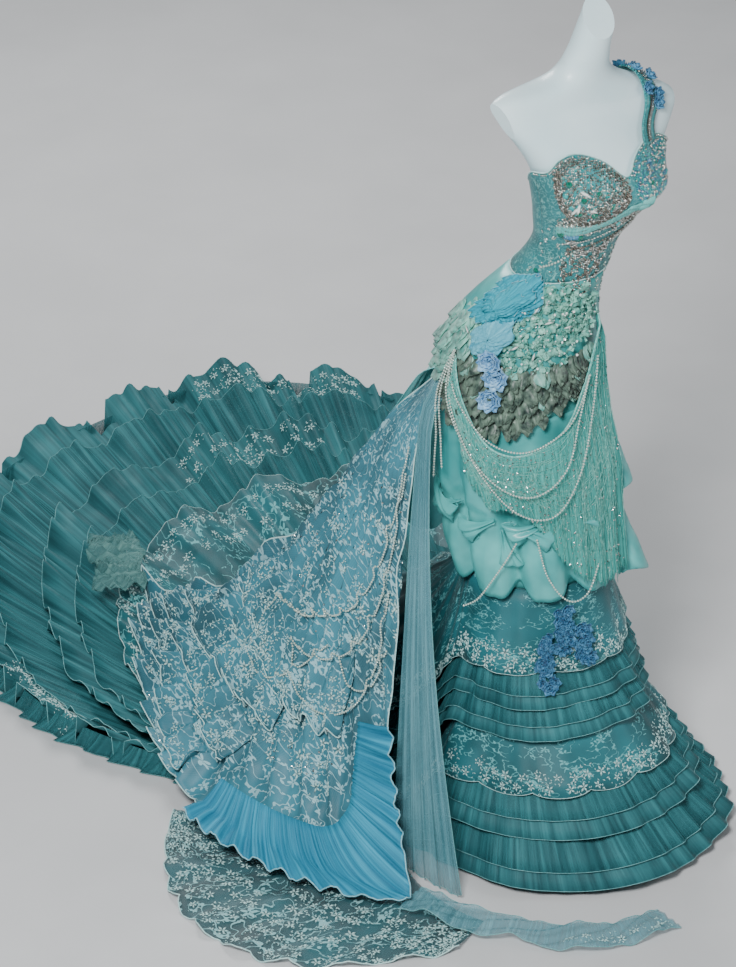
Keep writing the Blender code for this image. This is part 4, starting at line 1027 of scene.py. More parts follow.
def embroider(name, grid, slot, around=False, seed=1, rows=(0.70, 0.985), pitch=0.034, size=0.0056,
              keep=None):
    """Pale worked flowers and curled sprigs that follow the cloth, thickest near its scalloped edge."""
    surface = Surface(grid, around)
    draw = np.random.default_rng(seed)
    *_, metres = surface.at(np.linspace(0, 1, 50), np.full(50, rows[1] - 0.02))
    width, height = metres[0].mean(), metres[1].mean()
    across = max(int(width / pitch), 3)
    down = max(int(height * (rows[1] - rows[0]) / (pitch * 0.8)), 1)
    spots = []
    for i in range(down):
        for k in range(across):
            u = (k + 0.5 * (i % 2) + draw.uniform(-0.18, 0.18)) / across
            v = rows[0] + (rows[1] - rows[0]) * (i + 0.5 + draw.uniform(-0.15, 0.15)) / down
            if (0 < u < 1) and (keep is None or keep(u, v)) and draw.uniform() < 0.55 + 0.45 * (i + 1) / down:
                spots.append((u, v, draw.uniform(0, 6.28), draw.uniform(0.8, 1.2)))
    spots = np.array(spots)
    pattern = []                                          # x, y, direction, size of each leaf of one motif
    for k in range(5):
        turn = 2 * math.pi * k / 5
        pattern.append((0.9 * math.cos(turn), 0.9 * math.sin(turn), turn, 1.0))
    for k in range(7):                                    # a curled sprig
        turn = 0.55 * k
        reach = 1.9 + 0.28 * k
        pattern.append((reach * math.cos(turn), reach * math.sin(turn), turn + 1.9, 0.72 - 0.04 * k))
        if k % 2:
            pattern.append((reach * 1.22 * math.cos(turn), reach * 1.22 * math.sin(turn), turn + 0.6, 0.62))
    pattern = np.array(pattern)
    turn = spots[:, None, 2]
    x = (pattern[:, 0] * np.cos(turn) - pattern[:, 1] * np.sin(turn)) * size * spots[:, None, 3]
    y = (pattern[:, 0] * np.sin(turn) + pattern[:, 1] * np.cos(turn)) * size * spots[:, None, 3]
    *_, metres = surface.at(spots[:, 0], spots[:, 1])
    u = spots[:, None, 0] + x / metres[0][:, None]
    v = spots[:, None, 1] + y / metres[1][:, None]
    way = (pattern[:, 2] + turn)
    leaf = size * pattern[:, 3] * spots[:, None, 3]
    u, v, way, leaf = (a.ravel() for a in (u, v, way, leaf))
    inside = (u > 0.002) & (u < 0.998) & (v > 0.02) & (v < 0.995)
    u, v, way, leaf = u[inside], v[inside], way[inside], leaf[inside]
    places, normal, along, below, _ = surface.at(u, v, 0.0009)
    facing = np.sign(np.sum(normal * unit(places - (0, 0.3, 0)) + normal * (0, 0, 1), -1, keepdims=True))
    places = places + normal * (facing - 1) * 0.0009
    up = along * np.cos(way)[:, None] + below * np.sin(way)[:, None]
    return scatter(f"{name}_embroidery", LEAF, places, normal * facing, up, leaf, F["floss"], slot)


def underskirt():
    angle, _ = even_angles(180, 1.0)
    share = np.linspace(0, 1, 18)[:, None]
    grid = above_skirt(angle[None], share, CLOTH * 0.5)
    grid[..., 2] = np.maximum(grid[..., 2], 0.0008)
    piece = cloth("underskirt_cloth", grid, F["under"], "tulle", ("underskirt_train",), around=True)
    lay(piece, "hung", ["skirt_front_cloth", "skirt_back_cloth"])


# The fitted skirt and the overskirt

PUFF_LOBES = 9
PUFF_TOP_Z, PUFF_HEM_Z, PUFF_SCALLOP, PUFF_RISE = 0.985, 0.605, 0.026, 0.090
PUFF_PROFILE = [  # share of the way down, distance from the figure
    (0.00, 0.0063), (0.20, 0.012), (0.45, 0.030), (0.62, 0.024), (0.82, 0.036), (1.00, 0.026),
]
PUFF_WAVE = 0.013
TUCKS = [  # angle and height of each bow-like tuck, its half width in degrees and half height
    (218, 0.770, 9, 0.030), (258, 0.755, 9, 0.030), (178, 0.775, 8, 0.028), (298, 0.775, 9, 0.030),
    (138, 0.790, 8, 0.028), (98, 0.800, 8, 0.028), (58, 0.790, 8, 0.028), (18, 0.775, 8, 0.028),
    (338, 0.775, 8, 0.028),
]


def sheath():
    for name, first, last in (("skirt_front", 180.0, 360.0), ("skirt_back", 0.16, 179.84)):
        angle, z = np.meshgrid(np.linspace(first, last, 42), np.linspace(WAIST_SEAM_Z - 0.0003, KNEE_Z, 26))
        grid = on_figure(angle, z, WEAR_EASE + CLOTH / 2)
        piece = cloth(name + "_cloth", grid, F["satin"], "satin", (name,))
        lay(piece, "stretched", ["dress_form_shell"])


def satin_overskirt():
    angle, v = np.meshgrid(360.0 * np.arange(216) / 216 + 12.0, np.linspace(0, 1, 36))
    lobe = 1 - 2 * ((1 - np.cos(np.radians(angle * PUFF_LOBES))) / 2) ** 3.2
    hem = PUFF_HEM_Z - 0.6 * PUFF_SCALLOP * lobe + PUFF_RISE * spread(angle)
    z = PUFF_TOP_Z + (hem - PUFF_TOP_Z) * v
    out = column(PUFF_PROFILE, 1, v) + PUFF_WAVE * lobe * ease(v / 0.5)
    for k, (at, height, wide, tall) in enumerate(TUCKS):
        away = (angle - at + 180) % 360 - 180
        x, y = away / wide, (z - height) / tall
        near = np.exp(-x * x - y * y)
        turn = np.arctan2(y, x)
        out = out + near * 0.0015 * np.cos(5 * turn + k) - 0.008 * np.exp(-2 * (x * x + y * y))
        rays = np.exp(-((np.hypot(x, y) - 1.6) / 1.0) ** 2)
        out = out + 0.0022 * rays * np.cos(9 * turn + 1.3 * k)
        lip = np.exp(-(((z - height + 0.030) / 0.010) ** 2)) * np.exp(-(x / 1.6) ** 2)
        out = out + 0.004 * lip
    out = out + 0.0026 * ripple(angle + 20 * v, 15.0, 5) * v
    piece = cloth("satin_overskirt_cloth", on_figure(angle, z, np.maximum(out, 0.0062)), F["satin"], "satin",
                  ("satin_overskirt",), around=True)
    lay(piece, "gathered", ["skirt_front_cloth", "skirt_back_cloth"])


# Bow loops: a direction of 0 hangs and 90 points to the wearer's left
LOOPS = [  # angle and height of the foot, length, width, how far it stands off, direction
    (210, 0.768, 0.075, 0.060, 0.024, -60), (220, 0.768, 0.080, 0.060, 0.024, 62),
    (214, 0.752, 0.080, 0.046, 0.014, 8), (246, 0.775, 0.080, 0.058, 0.022, -66),
    (254, 0.775, 0.080, 0.058, 0.022, 64), (184, 0.790, 0.085, 0.060, 0.026, -60),
    (150, 0.800, 0.090, 0.060, 0.026, 60), (118, 0.800, 0.090, 0.060, 0.026, -60),
    (60, 0.790, 0.090, 0.060, 0.026, 60), (20, 0.790, 0.090, 0.060, 0.026, -60),
]
WINGS = [  # heights of the top, the tip and the foot, and how far the tip stands out
    (0.775, 0.595, 0.575, 0.082), (0.900, 0.790, 0.750, 0.050),
]


def satin_wings():
    """Two folded corners of satin that stand out at the wearer's left."""
    for number, (top, tip, low, off) in enumerate(WINGS, 1):
        u, v = lattice(34, 16)
        z = top + (low - top) * u
        peak = (top - tip) / (top - low)
        shape = np.where(u < peak, (u / peak) ** 1.25, 1 - 0.80 * ease((u - peak) / (1 - peak)))
        side = unit(stack(0.788 + 0 * u, -0.616 + 0.5 * v, -0.35 * v * shape))
        base = on_figure(312, z, 0.034)
        front = np.array((-0.533, -0.682, 0.0)) * (0.016 * np.sin(np.pi * v) * (1 + 0.5 * cosine(2.5 * u))
                                                   + 0.005 * cosine(3 * u + 0.6 * v) * v)[..., None]
        piece = cloth(f"satin_wing_{number}", base + side * (off * shape * v)[..., None] + front,
                      F["satin"], "satin")
        lay(piece, "folded", ["satin_overskirt_cloth"])


def satin_loops():
    """Bow loops of satin: flat folds that widen from a pinched foot and turn back under."""
    for number, (angle, z, long, wide, off, way) in enumerate(LOOPS, 1):
        v, u = np.meshgrid(np.linspace(0, 1, 22), np.linspace(-1, 1, 15), indexing="ij")
        reach = np.sin(np.pi * 0.5 * np.minimum(v / 0.78, 1)) - 0.30 * ease((v - 0.78) / 0.22)
        half = wide * 0.5 * (0.12 + 0.88 * ease(v / 0.75)) * (1 - 0.25 * ease((v - 0.8) / 0.2))
        puff = off * np.sin(np.pi * np.minimum(v, 0.86) / 0.95) * (1 - 0.55 * u * u)
        puff = puff + 0.005 * np.cos(5.0 * u + number) * (1 - v) + 0.003 * ripple(u + v, 0.9, 200 + number)
        across, along = half * u, long * reach
        turn = math.radians(way)
        x = along * math.sin(turn) + across * math.cos(turn)
        y = -along * math.cos(turn) + across * math.sin(turn)
        around = 0.155
        grid = on_figure(angle + np.degrees(x / around), z + y, 0.038 + puff)
        piece = cloth(f"satin_loop_{number}", grid, F["satin"], "satin")
        lay(piece, "folded", ["satin_overskirt_cloth"])


SWAG = [  # angle, top edge height, lower edge height
    (186.0, 1.110, 1.020), (196.0, 1.035, 0.890), (208.0, 0.960, 0.815), (226.0, 0.925, 0.800),
    (238.0, 0.930, 0.765), (250.0, 0.945, 0.690), (266.0, 0.985, 0.630), (280.0, 1.060, 0.612),
    (290.0, 1.130, 0.610), (302.0, 1.200, 0.615),
]
SWAG_WAVES, SWAG_OUT_TOP, SWAG_OUT_LOW, SWAG_WAVE = 9, 0.027, 0.057, 0.004


def swag_point(u, v, off=0.0):
    angle = SWAG[0][0] + (SWAG[-1][0] - SWAG[0][0]) * u
    top, low = column(SWAG, 1, angle), column(SWAG, 2, angle)
    z = top + (low - top) * v
    out = SWAG_OUT_TOP + (SWAG_OUT_LOW - SWAG_OUT_TOP) * ease((1.05 - z) / 0.25)
    free = ease(np.maximum((SWAG[-1][0] - angle) / 9.0, v / 0.15))
    out = ON_SHEATH + (out - ON_SHEATH) * free
    out = out + SWAG_WAVE * v * cosine(SWAG_WAVES * u)
    crinkle = (0.0022 * ripple(u + 0.06 * np.sin(5 * v), 0.030, 21)
               + 0.0016 * ripple(v + 0.5 * u, 0.11, 22) * (1 - u))
    return on_figure(angle, z, out + crinkle * ease(v / 0.1) * free + off)


def tulle_swag():
    u, v = lattice(180, 30)
    jag = 1.0 + 0.035 * ripple(u, 0.021, 31) * (v > 0.99)
    grid = swag_point(u, v * jag)
    piece = cloth("tulle_swag_cloth", grid, F["mint"], "mint_tulle", ("tulle_swag",))
    hem = tube("swag_edge", [grid[0]], 0.0022, F["thread"], "mint_tulle")
    lay(piece, "draped", ["satin_overskirt_cloth"], [hem])
    lines = []
    for k in range(230):                                  # fine loose threads of the crinkled net
        start = rng.uniform(0, 1)
        length = rng.uniform(0.35, 1.0)
        first = rng.uniform(0, 1 - length * 0.9)
        t = np.linspace(0, 1, 16)
        vv = np.clip(first + length * t, 0, 1.0)
        uu = np.clip(start + 0.05 * np.sin(3 * t + k) * (1 - 0.5 * start)
                     - 0.10 * t * (1 - start) * rng.uniform(-1, 1), 0, 1)
        lines.append(swag_point(uu, vv, 0.0016))
    for k in range(34):                                   # folds that hang in a curve from side to side
        depth = rng.uniform(0.02, 0.8)
        t = np.linspace(0.0, rng.uniform(0.5, 1.0), 30)
        lines.append(swag_point(t, np.clip(depth + 0.05 * np.sin(6 * t + k) - 0.35 * depth * t, 0.01, 1),
                                0.0018))
    tube("swag_threads", lines, 0.0005, F["thread"], "mint_tulle", sides=3)
    n = 700
    uu, vv = rng.uniform(0.02, 0.99, n), rng.uniform(0.02, 0.98, n)
    places = swag_point(uu, vv, 0.0026)
    normals = unit(places - swag_point(uu, vv, -0.01)) + 0.7 * spin(n)
    scatter("swag_sequins", SEQUIN, places, normals, spin(n), rng.uniform(0.0013, 0.0022, n), F["silver"],
            "mint_tulle", smooth=False)


PETALS = [  # angle, top edge height, lower edge height
    (178.0, 1.060, 0.965), (196.0, 1.058, 0.955), (214.0, 1.075, 0.945), (232.0, 1.095, 0.955),
    (256.0, 1.100, 0.990), (274.0, 1.110, 1.020), (292.0, 1.120, 1.045),
]


def hanging_petals(name, spots, sizes, shape, finish, slot, nodes=(), lean=0.20):
    """Petals that hang from spots (angle, z, out) on the figure, their tips a little outwards."""
    angle, z, out = np.array(spots).T
    places = on_figure(angle, z, out)
    normals = outward(angle, z)
    n = len(angle)
    sway = rng.normal(scale=0.22, size=n)
    side = unit(np.cross(normals, (0, 0, 1.0)))
    lean = lean + rng.normal(scale=0.07, size=n)
    ups = (side * np.sin(sway)[:, None] - np.array((0, 0, 1.0)) * np.cos(sway)[:, None]
           + normals * lean[:, None])
    faces_out = normals + np.array((0, 0, 1.0)) * lean[:, None]
    return scatter(name, shape, places, faces_out, ups, sizes, finish, slot, nodes=nodes)


def petal_band():
    spots, pale = [], []
    for row in range(4):
        for k in range(40):
            angle = 178 + 114 * (k + 0.5 * (row % 2) + rng.uniform(-0.3, 0.3)) / 40
            top, low = float(column(PETALS, 1, angle)), float(column(PETALS, 2, angle))
            z = top - (top - low - 0.030) * (row + rng.uniform(-0.1, 0.1)) / 3.4
            spot = (angle, min(z, top), 0.0060 + 0.0012 * (4 - row) + rng.uniform(0, 0.002))
            (pale if angle > 282 or rng.uniform() < 0.07 else spots).append(spot)
    for k in range(34):
        angle = rng.uniform(180, 226)
        spots.append((angle, rng.uniform(1.065, 1.135) - 0.0006 * (angle - 180), rng.uniform(0.0100, 0.0125)))
    shape = petal_shape(0.29, 0.20, 0.05)
    sizes = rng.uniform(0.034, 0.048, len(spots))
    hanging_petals("leaf_petals", spots, sizes, shape, F["leaf"], "leaf_organza", ("petal_band",))
    sizes = rng.uniform(0.031, 0.041, len(pale))
    hanging_petals("pale_leaf_petals", pale, sizes, shape, F["pale_leaf"], "leaf_organza")


def hip_spray():
    spots = [(rng.uniform(140, 178), rng.uniform(1.10, 1.205), rng.uniform(0.007, 0.016)) for _ in range(46)]
    sizes, shape = rng.uniform(0.035, 0.055, 46), petal_shape(0.33, 0.22, 0.06)
    hanging_petals("hip_spray_petals", spots, sizes, shape, F["tuft"], "mint_tulle", ("hip_spray",),
                   lean=0.35)
    spots = [(rng.uniform(165, 190), rng.uniform(1.06, 1.16), rng.uniform(0.007, 0.014)) for _ in range(24)]
    sizes, shape = rng.uniform(0.030, 0.045, 24), petal_shape(0.36, 0.20, 0.05)
    hanging_petals("hip_pale_petals", spots, sizes, shape, F["pale_leaf"], "mint_tulle", lean=0.30)


def mint_applique():
    """The fluffy mint applique below the waist, made of small waved tufts, with shell sequins."""
    spots, sizes = [], []
    while len(spots) < 560:
        angle, z = rng.uniform(188, 294), rng.uniform(1.085, 1.268)
        edge = math.hypot((angle - 240) / 50, (z - 1.178) / 0.088) + 0.12 * math.sin(angle * 0.3)
        if edge < 1.0 and float(column(PETALS, 1, angle)) - 0.015 < z:
            spots.append((angle, z, 0.0058 + rng.uniform(0, 0.006)))
            sizes.append(rng.uniform(0.010, 0.018))
    angle, z, out = np.array(spots).T
    places = on_figure(angle, z, out)
    normals = outward(angle, z) + 0.35 * spin(len(z))
    n = 150
    pick = rng.integers(0, len(places), n)
    scatter("applique_sequins", SEQUIN,
            places[pick] + normals[pick] * 0.010 + rng.normal(scale=0.003, size=(n, 3)),
            normals[pick] + 0.6 * spin(n), spin(n), rng.uniform(0.0014, 0.0028, n), F["shell"],
            "mint_tulle", smooth=False)
    scatter("mint_tufts", petal_shape(0.42, 0.30, 0.20), places, normals, spin(len(z)), np.array(sizes),
            F["tuft"], "mint_tulle")
    shells = np.array([(228, 1.222), (244, 1.196), (225, 1.150), (182, 1.165), (262, 1.18), (240, 1.13),
                       (214, 1.19)])
    places = on_figure(shells[:, 0], shells[:, 1], 0.022)
    normals = unit(places - on_figure(shells[:, 0], shells[:, 1], 0.0))
    scatter("shell_sequins", SHARD, places, normals, spin(len(shells)), 0.011, F["shell"], "mint_tulle")


ROSETTE_LAYERS = [  # radius, height of its dome, turns of its swirl, folds
    (0.058, 0.012, 0.55, 26), (0.044, 0.024, 0.75, 20), (0.030, 0.034, 0.90, 14),
]


def rosette():
    """Swirled folds of turquoise organza: three waved layers, each turned against the last."""
    layers = []
    for layer, (radius, dome, turns, folds) in enumerate(ROSETTE_LAYERS):
        r, t = np.meshgrid(np.linspace(0.03, 1, 11), np.arange(folds * 8) / (folds * 8), indexing="ij")
        swirl = folds * t + folds * turns * r / 4
        edge = radius * r * (1.0 + 0.07 * r * cosine(5 * t + layer * 0.3))
        lift = (dome * (1 - r ** 2.2) + 0.0055 * (0.25 + r) * cosine(swirl)
                + 0.006 * r * cosine(5 * t + 0.4 * layer))
        turn = -2 * np.pi * t
        reach = float(curve(FIGURE[:, 0], FIGURE[:, 4], 1.228)) + 0.0075
        angle = 196.0 + np.degrees(edge * np.cos(turn) / reach)
        out = 0.0115 + 0.0065 * layer + np.maximum(lift, -0.003)
        layers.append(on_figure(angle, 1.228 + edge * np.sin(turn), out))
    for layer, grid in enumerate(layers):
        name = "rosette_cloth" if layer == 0 else f"rosette_layer_{layer}"
        piece = cloth(name, grid, F["rosette"], "blue_organza", ("rosette",) if layer == 0 else (),
                      around=True, thick=ORGANZA_THICK)
        hem = tube(name + "_hem", [np.concatenate([grid[-1], grid[-1, :1]])], 0.0007, F["blue_hem"],
                   "blue_organza", sides=4)
        lay(piece, "gathered", ["skirt_front_cloth"], [hem])


def organza_puff():
    r, t = np.meshgrid(np.linspace(0.03, 1, 14), np.arange(140) / 140, indexing="ij")
    turn = -2 * np.pi * t
    radius = 0.040 * r * (1.0 + 0.10 * r * cosine(6 * t))
    lift = (0.016 * (1 - r * r) + 0.0035 * ripple(11 * t + 3 * r, 1.0, 41) * (0.3 + r)
            + 0.0022 * ripple(9 * r + 4 * t, 1.0, 42))
    reach = float(curve(FIGURE[:, 0], FIGURE[:, 4], 1.170)) + 0.0277
    angle = 205.0 + np.degrees(radius * np.cos(turn) / reach)
    grid = on_figure(angle, 1.170 + radius * np.sin(turn), 0.0277 + np.maximum(lift, -0.004))
    piece = cloth("organza_puff_cloth", grid, F["puff"], "blue_organza", ("organza_puff",), around=True,
                  thick=ORGANZA_THICK)
    lay(piece, "gathered", ["rosette_cloth"])


def hip_flowers():
    rows = ((212.0, 1.128, 0.030, 0.0290, "flower_1"), (218.0, 1.095, 0.024, 0.0300, "flower_2"),
            (215.5, 1.0436, 0.018, 0.0290, "flower_3"))
    for angle, z, out, radius, node in rows:
        places = on_figure(np.array([angle]), z, out)
        normals = unit(places - on_figure(np.array([angle]), z, 0.0))
        flower(places, normals, radius, 9, 5, F["lilac"], node + "_petals", "flower_cloth", (node,))


# The sheets that hang to the floor

LACE_TRAIN = [  # u, top angle, floor angle, floor radius, floor height, bend
    (0.00, 124.0, 105.0, 1.130, 0.140, 1.70), (0.15, 128.0, 112.0, 1.060, 0.125, 1.70),
    (0.32, 133.0, 123.0, 0.950, 0.105, 1.65), (0.50, 140.0, 136.0, 0.850, 0.070, 1.55),
    (0.68, 147.0, 150.0, 0.730, 0.042, 1.40), (0.85, 154.0, 168.0, 0.590, 0.032, 1.40),
    (1.00, 161.0, 185.0, 0.510, 0.032, 1.40), (1.10, 165.0, 194.0, 0.480, 0.032, 1.40),
]
GAUZE_PANEL = [  # the same columns
    (0.00, 163.5, 168.0, 0.405, 0.006, 1.00), (0.50, 170.0, 180.0, 0.400, 0.006, 1.00),
    (1.00, 177.0, 196.0, 0.395, 0.006, 1.00),
]
SATIN_BACK = [  # the same columns
    (0.00, 65.5, 66.0, 0.480, 0.440, 0.80), (0.50, 92.0, 91.0, 0.560, 0.430, 0.80),
    (1.00, 118.0, 108.0, 0.600, 0.440, 0.80),
]
LACE_TOP_Z, GAUZE_TOP_Z, SATIN_TOP_Z = 1.000, 1.060, 1.000
LACE_FOLDS, GAUZE_FOLDS, SATIN_FOLDS = 11, 5, 4
FALL_BULGE = 0.034


def fall_point(rows, u, v, top_z, top_out=ON_SHEATH):
    u, v = np.broadcast_arrays(np.asarray(u, float), np.asarray(v, float))
    top_angle, low_angle, radius, height, bend = (column(rows, k, u) for k in range(1, 6))
    start = on_figure(top_angle, top_z, top_out)
    first = np.hypot(start[..., 0], start[..., 1])
    begin = np.degrees(np.arctan2(start[..., 1], start[..., 0]))
    turn = np.radians(begin + (low_angle - begin) * v ** 0.9)
    r = first + (radius - first) * v + FALL_BULGE * ease(v / 0.1) * (1 - np.minimum(v, 1.0))
    return stack(r * np.cos(turn), r * np.sin(turn),
                 height + (top_z - height) * np.maximum(1 - v, 0.0) ** bend)


def lifted(p, lift):
    level = np.hypot(p[..., 0], p[..., 1])
    return p + stack(p[..., 0] / level * 0.5, p[..., 1] / level * 0.5, 1.0) * lift[..., None]


def train_wave(u, v):
    """The lace train's folds: the solid's, and smaller ones that die away under the blue ruffle."""
    broad = (0.004 + 0.022 * ease(1 - u / 0.65)) * v * cosine(LACE_FOLDS * u)
    free = (1 - 0.85 * np.maximum(ease((u - 0.82) / 0.07) * ease((v - 0.46) / 0.10),
                                  ease((u - 0.54) / 0.08) * ease((v - 0.78) / 0.08)))
    x = 17 * (u - 0.16 * v) + 0.35 * np.sin(9 * u + 4 * v)
    small = 0.0140 * np.cos(2 * np.pi * x + 0.9 * np.sin(2 * np.pi * x)) * ease(v / 0.35)
    small = small + 0.0022 * ripple(u, 0.03, 51) * ease(v / 0.15)
    cross = 0.004 * ripple(v + 0.8 * u, 0.13, 52) * ease(v / 0.3)
    return broad + (small + cross) * free


def clear_of_ruffle(u, v):
    return ((u < 0.52) | (v < 0.76)) & ((u < 0.84) | (v < 0.50))


def lace_train():
    u, v = lattice(204, 50)
    scallop = 1.0 + 0.018 * np.abs(np.sin(np.pi * 15 * u)) ** 0.7 * ease((v - 0.9) / 0.1)
    grid = lifted(fall_point(LACE_TRAIN, u, v * scallop, LACE_TOP_Z), train_wave(u, v))
    grid[..., 2] = np.maximum(grid[..., 2], 0.004)
    piece = cloth("lace_train_cloth", grid, F["train_lace"], "lace", ("lace_train",))
    edge = tube("lace_train_hem", [grid[-1], grid[:, 0], grid[:, -1]], 0.0016, F["floss"], "lace")
    lay(piece, "draped", ["tier_4_lace_cloth"], [edge])
    embroider("lace_train", grid, "lace", seed=61, rows=(0.22, 0.985), pitch=0.043, size=0.0064,
              keep=clear_of_ruffle)
    surface = Surface(grid)
    n = 1000
    u, v = rng.uniform(0, 1, n), rng.uniform(0.1, 1, n) ** 0.8
    u, v = u[clear_of_ruffle(u, v)], v[clear_of_ruffle(u, v)]
    n = len(u)
    places, normal, *_ = surface.at(u, v, 0.0016)
    normal = normal * np.sign(normal[:, 2:3])
    scatter("lace_train_sequins", SEQUIN, places + normal * 0.0008, normal + 0.5 * spin(n), spin(n),
            rng.uniform(0.0014, 0.0026, n), F["silver"], "lace", smooth=False)
    roundel(surface)
    lace_layers()


def roundel(surface):
    """The large lace roundel on the train: rings of leaves, curled inwards."""
    rings = []
    for ring in range(9):
        reach = 0.014 + 0.0125 * ring
        n = int(2 * math.pi * reach / 0.0115)
        for k in range(n):
            turn = 2 * math.pi * k / n + 0.3 * ring
            rings.append((reach * math.cos(turn), reach * math.sin(turn), turn + (0.4 if ring % 2 else 1.4),
                          0.0062))
    x, y, way, size = np.array(rings).T
    u0, v0 = np.array([0.50]), np.array([0.535])
    *_, metres = surface.at(u0, v0)
    places, normal, along, below, _ = surface.at(u0 + x / metres[0], v0 + y / metres[1], 0.0)
    facing = np.sign(normal[:, 2:3])
    up = along * np.cos(way)[:, None] + below * np.sin(way)[:, None]
    scatter("lace_roundel", LEAF, places + normal * facing * 0.0014, normal * facing, up, size, F["floss"],
            "lace")


LACE_LAYERS = [
    # first u, last u, where its gathered edge and its scalloped edge lie down the train, distance off it
    (0.02, 0.66, 0.56, 0.74, 0.020), (0.02, 0.60, 0.71, 0.86, 0.018), (0.02, 0.54, 0.84, 0.96, 0.014),
    (0.26, 0.84, 0.46, 0.62, 0.018), (0.10, 0.50, 0.44, 0.60, 0.018),
]


def lace_layers():
    """Scalloped lace flounces sewn in rows on the train."""
    for number, (first, last, top, low, off) in enumerate(LACE_LAYERS, 1):
        columns = int(230 * (last - first) / 0.6)
        s, w = lattice(columns, 9)
        u = first + (last - first) * s
        scallops = round(14 * (last - first) / 0.6)
        end = low - 0.014 * (1 - np.abs(np.sin(np.pi * scallops * s)) ** 0.7) + 0.02 * np.sin(4 * s + number)
        v = top + 0.02 * np.sin(5 * s + number) + (end - top) * w
        wave = train_wave(u, v) + 0.003 + off * np.sin(1.9 * w) + 0.0055 * w * ripple(s, 0.06, 70 + number)
        grid = lifted(fall_point(LACE_TRAIN, u, v, LACE_TOP_Z), wave)
        name = f"lace_flounce_{number}"
        piece = cloth(name, grid, F["train_lace"], "lace")
        hem = tube(name + "_hem", [grid[-1]], 0.0015, F["floss"], "lace")
        lay(piece, "gathered", ["lace_train_cloth"], [hem])
        embroider(name, grid, "lace", seed=80 + number, rows=(0.30, 0.985), pitch=0.038, size=0.0060)


def hanging_sheets():
    u, v = lattice(96, 28)
    wave = 0.012 * v * cosine(GAUZE_FOLDS * u) + 0.0035 * ripple(u + 0.08 * v, 0.06, 53) * ease(v / 0.1)
    grid = lifted(fall_point(GAUZE_PANEL, u, v, GAUZE_TOP_Z), wave)
    grid[..., 2] = np.maximum(grid[..., 2], 0.0015)
    piece = cloth("gauze_panel_cloth", grid, F["gauze"], "gauze", ("gauze_panel",))
    hem = tube("gauze_panel_hem", [grid[-1], grid[:, 0], grid[:, -1]], 0.0008, F["hem"], "gauze", sides=4)
    lay(piece, "hung", ["skirt_back_cloth"], [hem])
    u, v = lattice(64, 28)
    wave = 0.014 * v * cosine(SATIN_FOLDS * u) + 0.004 * ripple(u + 0.15 * v, 0.13, 54) * ease(v / 0.15)
    grid = lifted(fall_point(SATIN_BACK, u, v, SATIN_TOP_Z), wave)
    piece = cloth("satin_back_cloth", grid, F["pale_satin"], "satin", ("satin_back",))
    lay(piece, "draped", ["skirt_back_cloth"])


LOWER_LACE = [  # angle, inner radius, outer radius, height of the inner edge
    (143.0, 0.770, 0.830, 0.000), (150.0, 0.690, 0.850, 0.000), (162.0, 0.520, 0.880, 0.010),
    (174.0, 0.440, 0.870, 0.040), (186.0, 0.440, 0.800, 0.024), (197.0, 0.440, 0.660, 0.008),
    (206.0, 0.440, 0.560, 0.000),
]
LOWER_FOLDS, LOWER_WAVE = 9, 0.016


def lower_lace():
    u, v = lattice(190, 20)
    angle = 143.0 + 63.0 * u
    scallop = 1.0 - 0.035 * (1 - np.abs(np.sin(np.pi * 12 * u)) ** 0.7) * v
    a, b = column(LOWER_LACE, 1, angle), column(LOWER_LACE, 2, angle)
    r = a + (b - a) * v * scallop
    wave = 0.5 + 0.5 * cosine(LOWER_FOLDS * u)
    fine = 0.0012 * ripple(u + 0.1 * v, 0.03, 55)
    z = column(LOWER_LACE, 3, angle) * (1 - v) ** 2 + LOWER_WAVE * wave * v + 0.0015 + fine
    turn = np.radians(angle)
    grid = stack(r * np.cos(turn), r * np.sin(turn), np.maximum(z, 0.0012))
    piece = cloth("lower_lace_cloth", grid, F["floor_lace"], "lace", ("lower_lace",))
    hem = tube("lower_lace_hem", [grid[-1]], 0.0014, F["floss"], "lace")
    lay(piece, "laid", ["lace_train_cloth"], [hem])
    embroider("lower_lace", grid, "lace", seed=62, rows=(0.30, 0.985), pitch=0.040, size=0.0060)


RUFFLE = [  # along it, gathered edge u and v on the lace train, free edge u and v
    (0.00, 0.900, 0.58, 1.030, 0.56), (0.17, 0.905, 0.70, 1.050, 0.72), (0.30, 0.905, 0.76, 1.060, 0.84),
    (0.38, 0.890, 0.80, 1.055, 0.96), (0.46, 0.872, 0.83, 1.015, 1.07), (0.53, 0.845, 0.85, 0.960, 1.12),
    (0.62, 0.800, 0.86, 0.885, 1.15), (0.80, 0.710, 0.87, 0.765, 1.14), (1.00, 0.620, 0.88, 0.640, 1.11),
]
RUFFLE_WAVES, RUFFLE_OFF, RUFFLE_WAVE = 18, 0.0118, 0.009


